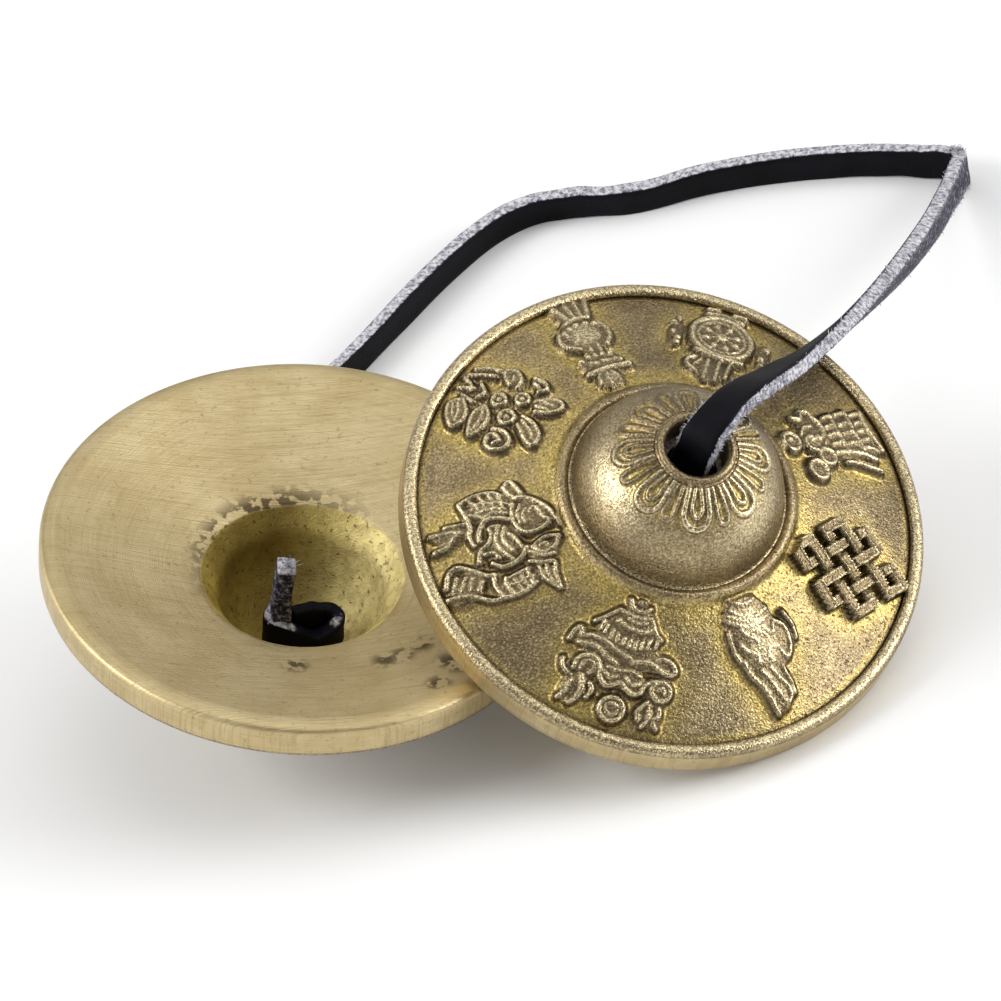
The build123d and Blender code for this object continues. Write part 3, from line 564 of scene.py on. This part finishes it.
def plain_colour(red, green, blue):
    """A colour as read off a picture, in the renderer's own scale."""
    shares = (red / 255, green / 255, blue / 255)
    return tuple(((c + 0.055) / 1.055) ** 2.4 if c > 0.04 else c / 12.92 for c in shares) + (1.0,)


def feed(tree, socket, value):
    """Links an output to a socket, or sets the socket to a fixed value."""
    if isinstance(value, bpy.types.NodeSocket):
        tree.links.new(value, socket)
    else:
        socket.default_value = value


def add_node(tree, kind, **values):
    """Adds a node, sets its options and feeds its inputs."""
    node = tree.nodes.new(kind)
    for name, value in values.items():
        if hasattr(node, name):
            setattr(node, name, value)
        else:
            feed(tree, node.inputs[name], value)
    return node


def noise(tree, place, scale, detail, roughness):
    node = add_node(tree, "ShaderNodeTexNoise", Vector=place, Scale=scale, Detail=detail, Roughness=roughness)
    return node.outputs[0]


def work_out(tree, operation, first, second=0.0, clamp=False):
    node = tree.nodes.new("ShaderNodeMath")
    node.operation = operation
    node.use_clamp = clamp
    feed(tree, node.inputs[0], first)
    feed(tree, node.inputs[1], second)
    return node.outputs[0]


def times(tree, first, second):
    return work_out(tree, "MULTIPLY", first, second)


def plus(tree, first, second):
    return work_out(tree, "ADD", first, second)


def minus(tree, first, second):
    return work_out(tree, "SUBTRACT", first, second)


def step_up(tree, value, low, high):
    """0 below low, 1 above high, smooth between."""
    node = tree.nodes.new("ShaderNodeMapRange")
    node.interpolation_type = "SMOOTHSTEP"
    for place, number in enumerate((value, low, high)):
        feed(tree, node.inputs[place], number)
    return node.outputs[0]


def blend_colour(tree, share, first, second):
    mix = tree.nodes.new("ShaderNodeMix")
    mix.data_type = "RGBA"
    for place, value in ((0, share), (6, first), (7, second)):
        feed(tree, mix.inputs[place], value)
    return mix.outputs[2]


def tint(tree, ground, mask, share, colour):
    """Lays a colour over the ground where the mask is, up to the given share."""
    return blend_colour(tree, times(tree, mask, share), ground, plain_colour(*colour))


def new_group(name, number, results):
    """An empty effect that takes a place and one number and gives the named results."""
    group = bpy.data.node_groups.new(name, "ShaderNodeTree")
    group.interface.new_socket("Place", in_out="INPUT", socket_type="NodeSocketVector")
    group.interface.new_socket(number, in_out="INPUT", socket_type="NodeSocketFloat")
    for result in results:
        group.interface.new_socket(result, in_out="OUTPUT", socket_type="NodeSocketFloat")
    return group, group.nodes.new("NodeGroupInput").outputs, group.nodes.new("NodeGroupOutput").inputs


# Cast skin: small pits, a fine sandy grain, lumps, and broad clouds and stains of tarnish
cast_skin, skin_in, skin_out = new_group("cast_skin", "Pit Size",
                                         ("Pits", "Grain", "Clouds", "Lumps", "Stains"))
skin_place = skin_in["Place"]
pit_noise = noise(cast_skin, skin_place, work_out(cast_skin, "DIVIDE", 1.0, skin_in["Pit Size"]), 2.0, 0.6)
cloud_noise = noise(cast_skin, skin_place, 130.0, 4.0, 0.6)
stain_noise = noise(cast_skin, skin_place, 55.0, 4.0, 0.55)
feed(cast_skin, skin_out["Pits"], step_up(cast_skin, pit_noise, 0.6, 0.72))
feed(cast_skin, skin_out["Grain"], noise(cast_skin, skin_place, 3400.0, 2.0, 0.6))
feed(cast_skin, skin_out["Clouds"], step_up(cast_skin, cloud_noise, 0.32, 0.7))
feed(cast_skin, skin_out["Lumps"], noise(cast_skin, skin_place, 700.0, 2.0, 0.5))
feed(cast_skin, skin_out["Stains"], step_up(cast_skin, stain_noise, 0.5, 0.66))

# Turned marks: the fine rings that a lathe tool and abrasive cloth leave round the cymbal's axis
turned_marks, turned_in, turned_out = new_group("turned_marks", "Lines per Metre",
                                                ("Lines", "Streaks", "Hatch"))
place = add_node(turned_marks, "ShaderNodeSeparateXYZ", Vector=turned_in["Place"]).outputs
squares = [times(turned_marks, way, way) for way in (place[0], place[1])]
ring_radius = work_out(turned_marks, "SQRT", plus(turned_marks, squares[0], squares[1]))
ring_ways = [times(turned_marks, work_out(turned_marks, "DIVIDE", way, ring_radius), 3.0)
             for way in (place[0], place[1])]
step_out = times(turned_marks, minus(turned_marks, ring_radius, place[2]), turned_in["Lines per Metre"])
ring_place = add_node(turned_marks, "ShaderNodeCombineXYZ", X=ring_ways[0], Y=ring_ways[1],
                      Z=step_out).outputs[0]
hatch_place = add_node(turned_marks, "ShaderNodeMapping", Vector=turned_in["Place"], Rotation=(0, 0, 0.9),
                       Scale=(110.0, 7600.0, 110.0)).outputs[0]
feed(turned_marks, turned_out["Lines"], noise(turned_marks, ring_place, 1.0, 3.0, 0.7))
feed(turned_marks, turned_out["Streaks"], noise(turned_marks, ring_place, 0.23, 2.0, 0.5))
feed(turned_marks, turned_out["Hatch"], noise(turned_marks, hatch_place, 1.0, 2.0, 0.6))


def new_material(name):
    material = bpy.data.materials.new(name)
    material.use_nodes = True
    return material, material.node_tree, material.node_tree.nodes["Principled BSDF"]


def place_group(tree, group, number):
    """Puts an effect into a material, with the piece's own place and the effect's number going in."""
    node = tree.nodes.new("ShaderNodeGroup")
    node.node_tree = group
    own_place = add_node(tree, "ShaderNodeAttribute", attribute_name="on_piece").outputs["Vector"]
    feed(tree, node.inputs[0], own_place)
    feed(tree, node.inputs[1], number)
    return node.outputs


def finish_and_light_masks(tree):
    """A casting's four marks, with painted light and painted shade among them, in the order in which the
    plate's masks give them.
    """
    marks = add_node(tree, "ShaderNodeVertexColor", layer_name="finish_and_painted_light").outputs
    red, green, blue = add_node(tree, "ShaderNodeSeparateColor", Color=marks["Color"]).outputs
    return red, green, blue, marks["Alpha"]


def bump(tree, shader, height, strength, depth):
    node = add_node(tree, "ShaderNodeBump", Strength=strength, Distance=depth, Height=height)
    tree.links.new(node.outputs[0], shader.inputs["Normal"])


# Aged cast skin of the domed side: grey-brown tarnish, yellow beside the relief, rubbed on its edges; steep
# relief walls get painted shade and the dome's shoulder painted highlights
aged_casting, tree, shader = new_material("aged_casting")
skin = place_group(tree, cast_skin, 0.00045)
rubbed_and_highlit, grime_and_painted_shade, yellowed, raised_top = finish_and_light_masks(tree)
speckle = step_up(tree, skin["Grain"], 0.4, 0.6)
yellow_share = plus(tree, 0.45, times(tree, skin["Clouds"], 0.6))
rubbed_and_highlit_share = plus(tree, 0.3, times(tree, speckle, 0.6))
ground = blend_colour(tree, skin["Clouds"], plain_colour(138, 120, 92), plain_colour(178, 159, 120))
ground = tint(tree, ground, skin["Stains"], 0.55, (98, 86, 70))
ground = tint(tree, ground, yellowed, yellow_share, (206, 181, 104))
ground = tint(tree, ground, raised_top, 0.8, (128, 112, 84))
ground = tint(tree, ground, minus(tree, 1.0, speckle), 0.5, (84, 70, 48))
ground = tint(tree, ground, step_up(tree, skin["Grain"], 0.56, 0.68), 0.4, (224, 208, 162))
ground = tint(tree, ground, skin["Pits"], 0.6, (50, 39, 26))
# Dark in the recesses as grime, and on steep walls and in the lip's corner as painted shade
ground = tint(tree, ground, grime_and_painted_shade, 0.95, (38, 29, 17))
# Pale on rubbed crests and on the lip, and as painted highlights on the dome's shoulder
ground = tint(tree, ground, rubbed_and_highlit, rubbed_and_highlit_share, (248, 231, 186))
dull = plus(tree, 0.2, times(tree, skin["Grain"], 0.22))
dull = minus(tree, dull, times(tree, rubbed_and_highlit, 0.1))
sandy = minus(tree, skin["Grain"], times(tree, skin["Pits"], 0.5))
tree.links.new(ground, shader.inputs["Base Color"])
tree.links.new(dull, shader.inputs["Roughness"])
shader.inputs["Metallic"].default_value = 0.92
bump(tree, shader, sandy, 1.0, 0.0001)

# Turned metal of the rim, playing face and dish, with the rough yellow casting left in the hollow, which has
# painted light on one side and painted shade on another
turned_metal, tree, shader = new_material("turned_bell_metal")
skin = place_group(tree, cast_skin, 0.0007)
turned = place_group(tree, turned_marks, 5200.0)
bright, dark, left_rough = finish_and_light_masks(tree)[:3]
uneven = times(tree, minus(tree, skin["Clouds"], 0.5), 0.5)
cast = step_up(tree, plus(tree, left_rough, uneven), 0.3, 0.75)
# Casting flaws on the dish, and painted shade where the hollow's dark mark reaches it
flaws_and_painted_shade = times(tree, dark, step_up(tree, skin["Lumps"], 0.46, 0.54))
metal = blend_colour(tree, skin["Clouds"], plain_colour(186, 166, 120), plain_colour(204, 186, 142))
metal = tint(tree, metal, step_up(tree, turned["Lines"], 0.42, 0.68), 0.3, (222, 206, 166))
metal = tint(tree, metal, step_up(tree, turned["Hatch"], 0.48, 0.66), 0.38, (152, 130, 86))
metal = tint(tree, metal, step_up(tree, turned["Streaks"], 0.5, 0.75), 0.18, (160, 138, 92))
metal = tint(tree, metal, skin["Pits"], 0.3, (104, 84, 50))
metal = tint(tree, metal, flaws_and_painted_shade, 0.85, (58, 46, 24))
rough = blend_colour(tree, skin["Clouds"], plain_colour(158, 133, 54), plain_colour(216, 194, 96))
# Painted light on one side of the hollow
rough = tint(tree, rough, bright, 0.75, (252, 236, 168))
# Painted shade on another side of the hollow
rough = tint(tree, rough, dark, 0.6, (96, 76, 34))
rough = tint(tree, rough, step_up(tree, skin["Lumps"], 0.42, 0.62), 0.3, (120, 98, 40))
rough = tint(tree, rough, skin["Pits"], 0.65, (80, 62, 28))
metal_share = minus(tree, 0.88, times(tree, cast, 0.5))
dull = plus(tree, 0.32, times(tree, turned["Lines"], 0.16))
dull = plus(tree, dull, times(tree, cast, 0.18))
tooled = plus(tree, turned["Lines"], minus(tree, turned["Hatch"], flaws_and_painted_shade))
tooled_share = times(tree, minus(tree, 1.0, cast), 0.4)
lumpy = minus(tree, plus(tree, skin["Grain"], skin["Lumps"]), skin["Pits"])
height = plus(tree, times(tree, tooled, tooled_share), times(tree, lumpy, cast))
tree.links.new(blend_colour(tree, cast, metal, rough), shader.inputs["Base Color"])
tree.links.new(metal_share, shader.inputs["Metallic"])
tree.links.new(dull, shader.inputs["Roughness"])
bump(tree, shader, height, 0.55, 0.00022)


def mark_points(mesh, name, kind, field, values):
    """Stores a value on every point of a mesh, for its material to read."""
    attribute = mesh.attributes.new(name, kind, "POINT")
    attribute.data.foreach_set(field, np.asarray(values, np.float32).ravel())


left_middle = (-21.1972, 1.40833, 23.1839)
left_axis = Vector((-0.211774, 0.168453, -0.962692))
left_across = Vector((0.97731865, 0.03650188, -0.20860456))
right_middle = (21.5949, -3.54288, 17.7458)
right_axis = Vector((0.296437, -0.470734, 0.830984))
right_across = Vector((0.95505242, 0.14611028, -0.25792763))
for side, middle, axis, across in (("left", left_middle, left_axis, left_across),
                                   ("right", right_middle, right_axis, right_across)):
    placed = middle + points @ np.array((across, axis.cross(across), axis))
    casting = bpy.data.meshes.new(side + "_cymbal_casting")
    casting.from_pydata((placed / 1000).tolist(), [], faces)
    casting.shade_smooth()
    mark_points(casting, "finish_and_painted_light", "FLOAT_COLOR", "color", finish_and_painted_light)
    mark_points(casting, "on_piece", "FLOAT_VECTOR", "vector", points / 1000)
    casting.materials.append(turned_metal)
    casting.materials.append(aged_casting)
    casting.polygons.foreach_set("material_index", cast_skin_kept.astype(np.int32))
    cymbal = bpy.data.objects.new(side + "_cymbal_casting", casting)
    bpy.context.scene.collection.objects.link(cymbal)
    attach(cymbal, side + "_cymbal")
    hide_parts(side + "_cymbal")

# The thong: one strap of black leather, 4.6 mm wide and 1.8 mm thick, cut by hand from the hide.
# It runs from the knot in the left hollow, out under the dome, round a fold and into the right hole.

strap_width = 4.6
strap_thickness = 1.8
floor_gap = 0.1

# The strap's middle line, and the direction of its width at each point
strap_route = [
    ((-24.462, 3.564, 5.852), (0.844, 0.528, -0.093)), ((-24.894, 3.908, 3.888), (0.844, 0.528, -0.093)),
    ((-25.529, 4.413, 1.0), (0.846, 0.53, -0.04)), ((-28.18, 8.65, 1.0), (0.848, 0.53, 0.0)),
    ((-33.5, 17.2, 1.5), (0.6, 0.375, 0.7)), ((-40.367, 28.158, 2.4), (0, 0, 1)),
    ((-28.5, 50.0, 2.4), (0, 0, 1)), ((-11.3, 73.0, 2.4), (0, -0.2, 1)), ((3.0, 91.6, 2.4), (0, -0.3, 1)),
    ((12.0, 98.3, 2.4), (0, -0.3, 1)), ((20.0, 97.3, 2.4), (0, -0.3, 1)), ((27.0, 95.2, 2.4), (0, -0.3, 1)),
    ((38.5, 97.2, 2.4), (0, -0.25, 1)), ((52.0, 95.6, 2.4), (0, -0.2, 1)), ((62.0, 92.6, 2.4), (0, -0.1, 1)),
    ((68.6, 89.4, 2.4), (0, 0, 1)), ((71.1, 87.6, 2.5), (0, 0, 1)), ((69.7, 83.0, 3.7), (0.05, 0, 1)),
    ((63.9, 61.5, 10.5), (0.25, -0.05, 0.97)), ((55.0, 35.5, 20.2), (0.52, -0.12, 0.85)),
    ((46.2, 12.6, 29.4), (0.78, -0.26, 0.57)), ((39.4, -0.6, 35.2), (0.86, -0.44, 0.15)),
    ((34.0, -11.0, 40.4), (0.78, -0.66, -0.05)), ((29.215, -15.643, 39.107), (0.72, -0.64, -0.26)),
    ((28.2, -14.0, 36.2), (0.68, -0.6, -0.42)), ((26.774, -11.767, 32.263), (0.66, -0.56, -0.5))]

# The strap's section, as shares of half its width and half its thickness, and how raw the leather is there
strap_section = [(1, 0.45), (0.99, 0.8), (0.93, 1), (0.6, 1.04), (0, 1.0), (-0.6, 1.04), (-0.93, 1),
                 (-0.99, 0.8), (-1, 0.45), (-1, -0.45), (-0.99, -0.8), (-0.93, -1), (-0.6, -1.04), (0, -1.0),
                 (0.6, -1.04), (0.93, -1), (0.99, -0.8), (1, -0.45)]
section_rawness = [1, 0.55, 0.1, 0, 0, 0, 0.1, 0.55, 1, 1, 0.7, 0.5, 0.42, 0.38, 0.42, 0.5, 0.7, 1]
around = len(strap_section)


def spline_points(corners, share):
    """Points along the smooth line that has these corners as its control points."""
    line = bpy.data.curves.new("route", "CURVE")
    line.dimensions = "3D"
    line.resolution_u = share
    spline = line.splines.new("NURBS")
    spline.points.add(len(corners) - 1)
    for point, corner in zip(spline.points, corners):
        point.co = (*corner, 1.0)
    spline.order_u = 3
    spline.use_endpoint_u = True
    carrier = bpy.data.objects.new("route", line)
    drawn = bpy.data.meshes.new_from_object(carrier)
    read = np.array([vertex.co for vertex in drawn.vertices])
    bpy.data.objects.remove(carrier)
    bpy.data.curves.remove(line)
    bpy.data.meshes.remove(drawn)
    return read


def unit(ways):
    return ways / np.linalg.norm(ways, axis=-1, keepdims=True)


def strap_strip(middles, across, width, thickness, chance):
    """Strap along points, with its width direction at each and a slightly wandering section."""
    along = unit(np.gradient(middles, axis=0))
    across = unit(across - along * np.sum(across * along, axis=1)[:, None])
    over = np.cross(along, across)
    half_widths = np.broadcast_to(width, len(middles)) / 2
    wander = chance.normal(0, 1, (len(middles), 3))
    for step in range(14):
        ahead = np.vstack([wander[1:], wander[-1:]])
        wander = (np.vstack([wander[:1], wander[:-1]]) + 2 * wander + ahead) / 4
    corners, marks, strips = [], [], []
    for k, middle in enumerate(middles):
        for (wide, thick), raw in zip(strap_section, section_rawness):
            ragged = chance.normal(0, 0.035) * raw
            aside = wide * half_widths[k] * (1 + 0.12 * wander[k, 0]) + ragged + 0.2 * wander[k, 1]
            above = thick * thickness / 2 * (1 + 0.1 * wander[k, 2])
            corners.append(middle + across[k] * aside + over[k] * above)
            marks.append(raw)
    for first in range(0, (len(middles) - 1) * around, around):
        for i in range(around):
            j = (i + 1) % around
            strips.append((first + i, first + j, first + around + j, first + around + i))
    strips.append(tuple(range(around))[::-1])
    strips.append(tuple(range(len(corners) - around, len(corners))))
    return corners, marks, strips, along, across, over


def add_fibres(corners, marks, strips, roots, ways, length, chance):
    """Short loose fibres, each a thin bent spike on the raw leather."""
    for root, way in zip(roots, unit(ways)):
        side = unit(np.cross(way, chance.normal(0, 1, 3)))
        other = np.cross(way, side)
        reach = length * chance.uniform(0.35, 1.0)
        thick = chance.uniform(0.04, 0.075)
        bend = side * reach * chance.uniform(-0.4, 0.4)
        first = len(corners)
        for level, size in ((0.0, thick), (0.55, thick * 0.8)):
            middle = root + way * reach * level + bend * level**2
            for turn in (0, 2.1, 4.2):
                corners.append(middle + size * (side * math.cos(turn) + other * math.sin(turn)))
        corners.append(root + way * reach + bend)
        marks.extend([1.0] * 7)
        for i in range(3):
            j = (i + 1) % 3
            strips.append((first + i, first + j, first + 3 + j, first + 3 + i))
            strips.append((first + 3 + i, first + 3 + j, first + 6))


# Leather: black grain side, navy flesh side, and grey raw edges with a fibrous nap
leather, tree, shader = new_material("black_leather_with_raw_edges")
skin = place_group(tree, cast_skin, 0.0005)
edge = add_node(tree, "ShaderNodeAttribute", attribute_name="cut_edge").outputs["Fac"]
fuzz = noise(tree, tree.nodes.new("ShaderNodeTexCoord").outputs["Object"], 1500.0, 4.0, 0.75)
frayed = times(tree, minus(tree, fuzz, 0.5), 0.9)
raw = step_up(tree, plus(tree, edge, frayed), 0.35, 0.75)
face = blend_colour(tree, skin["Clouds"], plain_colour(4, 4, 5), plain_colour(13, 12, 20))
face = blend_colour(tree, step_up(tree, edge, 0.12, 0.4), face, plain_colour(27, 26, 48))
grey = blend_colour(tree, step_up(tree, fuzz, 0.36, 0.62), plain_colour(112, 110, 124),
                    plain_colour(214, 213, 217))
nap = times(tree, fuzz, plus(tree, raw, 0.25))
height = plus(tree, nap, times(tree, skin["Pits"], -0.3))
dull = plus(tree, 0.62, times(tree, raw, 0.3))
tree.links.new(blend_colour(tree, raw, face, grey), shader.inputs["Base Color"])
tree.links.new(dull, shader.inputs["Roughness"])
shader.inputs["Specular IOR Level"].default_value = 0.1
bump(tree, shader, height, 0.7, 0.00025)


def leather_piece(name, corners, marks, strips):
    """A leather mesh that lies on the floor where it would go through it."""
    corners = np.array(corners)
    corners[:, 2] = np.maximum(corners[:, 2], floor_gap)
    mesh = bpy.data.meshes.new(name)
    mesh.from_pydata((corners / 1000).tolist(), [], strips)
    mesh.shade_smooth()
    mark_points(mesh, "on_piece", "FLOAT_VECTOR", "vector", corners / 1000)
    mark_points(mesh, "cut_edge", "FLOAT", "value", marks)
    mesh.materials.append(leather)
    piece = bpy.data.objects.new(name, mesh)
    bpy.context.scene.collection.objects.link(piece)
    return piece


chance = np.random.default_rng(21)
strap_line = spline_points([middle for middle, across in strap_route], 14)
strap_rail = spline_points([np.array(middle) + strap_width / 2 * np.array(across)
                            for middle, across in strap_route], 14)
corners, marks, strips, along, across, over = strap_strip(strap_line, strap_rail - strap_line, strap_width,
                                                          strap_thickness, chance)
# Loose fibres stand only on the front leg's edges
fibres = 3600
fold_share = 0.62
picks = chance.integers(int(fold_share * len(strap_line)), len(strap_line) - 4, fibres)
sides = chance.choice([-1, 1], fibres)[:, None]
roots = strap_line[picks] + sides * across[picks] * strap_width / 2 * 0.97
roots += over[picks] * chance.uniform(-0.85, 0.85, (fibres, 1))
ways = sides * across[picks] * 0.4
ways += along[picks] * chance.normal(0, 0.8, (fibres, 1))
ways += over[picks] * chance.normal(-0.1, 0.45, (fibres, 1))
add_fibres(corners, marks, strips, roots, ways, 0.75, chance)
strap = leather_piece("thong_strap", corners, marks, strips)
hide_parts("thong_back_leg", "thong_front_leg")
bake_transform(strap)

# The knots: each end of the strap is rolled up on edge behind the hole, so that it can't pull out.
# The cut tail, sliced narrower than the strap, stands up out of the roll.

# The rolls' places across and back from where the strap ends, and the strap's width there
left_turns = [(-1.5, 2.0, 4.8), (-0.4, 2.3, 4.8), (1.4, 2.35, 4.8), (3.2, 2.4, 4.6), (4.3, 1.3, 4.4),
              (3.5, 0.0, 3.2), (1.6, -0.1, 2.2), (-0.6, 0.0, 3.0), (-2.8, -0.15, 4.6), (-4.3, 0.6, 4.8),
              (-4.4, 2.2, 4.8), (-3.3, 3.3, 4.6)]
right_turns = [(reach * math.cos(turn), 1.2 + reach * math.sin(turn), 4.6)
               for turn, reach in zip(np.radians(np.linspace(100, 1180, 31)), np.linspace(0.2, 5.1, 31))]
tail_route = np.array([(-2.9, 1.4, 1.6), (-3.1, 1.4, 4.8), (-3.1, 1.5, 9.0), (-2.6, 1.5, 13.4)])
tail_across = np.array([(0, 1, 0.1), (0.05, 1, 0.1), (0.1, 1, 0), (0.2, 1, 0)])
tail_width = 2.6
tail_thickness = 2.2
knot_swing = math.radians(-24)
knot_back = 1.2
left_seat = ((-24.462, 3.564, 5.852), (0.844, 0.528, -0.093))
right_seat = ((26.774, -11.767, 32.263), (0.658, -0.53, -0.535))
for side, body, (seat, seat_across), axis, lift, turns in (
        ("left", "thong", left_seat, left_axis, 1.3, np.array(left_turns)),
        ("right", "front_leg", right_seat, right_axis, 0.7, np.array(right_turns))):
    out = -np.array(axis)
    plain_x = unit(np.array(seat_across) - out * np.dot(seat_across, out))
    plain_y = np.cross(out, plain_x)
    x_way = plain_x * math.cos(knot_swing) + plain_y * math.sin(knot_swing)
    y_way = plain_y * math.cos(knot_swing) - plain_x * math.sin(knot_swing)
    ways_of_knot = np.array([x_way, y_way, out])
    start = np.array(seat) - knot_back * y_way + lift * out

    roll = spline_points(turns * (1, 1, 0.5) @ ways_of_knot + start, 10)
    upper = spline_points(turns @ ways_of_knot + start, 10)
    widths = 2 * np.linalg.norm(upper - roll, axis=1)
    corners, marks, strips, along, across, over = strap_strip(roll, upper - roll, widths,
                                                              strap_thickness, chance)
    # The raw edge shows at the curl's end and a little at the bend: the rest is dyed black
    share = np.arange(len(roll)) / len(roll)
    bare = np.maximum(np.clip((share - 0.68) / 0.08, 0.2, 1), 0.6 * np.exp(-(((share - 0.38) / 0.06) ** 2)))
    marks = [mark * part * (mark > 0.52) for mark, part in zip(marks, np.repeat(bare, around))]
    fibres = 160
    picks = chance.integers(int(0.76 * len(roll)), len(roll) - 1, fibres)
    roots = upper[picks] - out * 0.1 + over[picks] * chance.uniform(-0.85, 0.85, (fibres, 1))
    add_fibres(corners, marks, strips, roots, out * 0.7 + chance.normal(0, 0.5, (fibres, 3)), 0.6, chance)

    tail = spline_points(tail_route @ ways_of_knot + start, 12)
    rail = spline_points((tail_route + tail_across) @ ways_of_knot + start, 12)
    tail_corners, tail_marks, tail_strips, along, across, over = strap_strip(tail, rail - tail, tail_width,
                                                                             tail_thickness, chance)
    first = len(corners)
    corners += tail_corners
    marks += [0.42] * (len(tail_marks) - around) + [0.9] * around
    strips += [tuple(first + i for i in strip) for strip in tail_strips]
    picks = np.concatenate([chance.integers(6, len(tail), 30), np.full(40, len(tail) - 1)])
    fibres = len(picks)
    roots = tail[picks] + across[picks] * chance.uniform(-1.2, 1.2, (fibres, 1))
    roots += over[picks] * chance.uniform(-0.8, 0.8, (fibres, 1))
    ways = along[picks] * chance.uniform(0.2, 1.0, (fibres, 1))
    ways += chance.normal(0, 0.5, (fibres, 3))
    add_fibres(corners, marks, strips, roots, ways, 0.7, chance)
    # Two long threads hang off the tail's tip
    ways = np.array([along[-1] + 0.5 * x_way, 0.35 * along[-1] + x_way])
    add_fibres(corners, marks, strips, tail[[-1, -2]] + 0.9 * x_way, ways, 2.6, chance)
    knot = leather_piece(side + "_knot_roll", corners, marks, strips)
    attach(knot, body)
    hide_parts(side + "_knot")

# The stage: a pale floor, three soft lamps and a sky that is brighter to the left and behind,
# seen by a long lens from in front and above.

floor_mesh = bpy.data.meshes.new("floor")
floor_mesh.from_pydata([(-6, -6, 0), (6, -6, 0), (6, 6, 0), (-6, 6, 0)], [], [(0, 1, 2, 3)])
floor_paint, tree, shader = new_material("pale_floor")
shader.inputs["Base Color"].default_value = (0.88, 0.88, 0.88, 1)
shader.inputs["Roughness"].default_value = 0.9
shader.inputs["Specular IOR Level"].default_value = 0.1
floor_mesh.materials.append(floor_paint)
floor = bpy.data.objects.new("floor", floor_mesh)
bpy.context.scene.collection.objects.link(floor)

sky = bpy.data.worlds.new("graded_sky")
sky.use_nodes = True
tree = sky.node_tree
background = tree.nodes["Background"]
background.inputs["Color"].default_value = (1, 1, 1, 1)
sky_place = tree.nodes.new("ShaderNodeTexCoord").outputs["Generated"]
sky_way = add_node(tree, "ShaderNodeSeparateXYZ", Vector=sky_place).outputs
sky_left = work_out(tree, "POWER", work_out(tree, "MULTIPLY", sky_way[0], -1.0, clamp=True), 2.0)
sky_level = plus(tree, 0.42, times(tree, sky_way[1], 0.2))
sky_level = plus(tree, sky_level, times(tree, sky_left, 0.9))
tree.links.new(sky_level, background.inputs["Strength"])
bpy.context.scene.world = sky

lamp_aim = Vector((0, 0.02, 0.01))
for name, place, size, power in (("lamp_overhead", (0.3, 0.15, 1.3), 1.3, 4.9),
                                 ("lamp_right", (0.86, -0.2, 0.38), 0.55, 6.2),
                                 ("lamp_left", (-0.76, -0.15, 0.6), 0.5, 4.6)):
    lamp = bpy.data.lights.new(name, "AREA")
    lamp.size = size
    lamp.energy = power
    lamp_object = bpy.data.objects.new(name, lamp)
    facing = (lamp_aim - Vector(place)).to_track_quat("-Z", "Y")
    lamp_object.matrix_world = Matrix.Translation(place) @ facing.to_matrix().to_4x4()
    bpy.context.scene.collection.objects.link(lamp_object)

lens = bpy.data.cameras.new("camera")
lens.lens = 259.68
lens.sensor_width = 36
lens.clip_end = 20
camera = bpy.data.objects.new("camera", lens)
camera_stand = Matrix.Translation((0.023442, -0.724943, 0.528887))
camera_pan = Matrix.Rotation(math.radians(1.58), 4, "Z")
camera_tilt = Matrix.Rotation(math.radians(90 - 34.819), 4, "X")
camera_roll = Matrix.Rotation(math.radians(-12.114), 4, "Z")
camera.matrix_world = camera_stand @ camera_pan @ camera_tilt @ camera_roll
bpy.context.scene.collection.objects.link(camera)
bpy.context.scene.camera = camera
bpy.context.scene.view_settings.view_transform = "Standard"
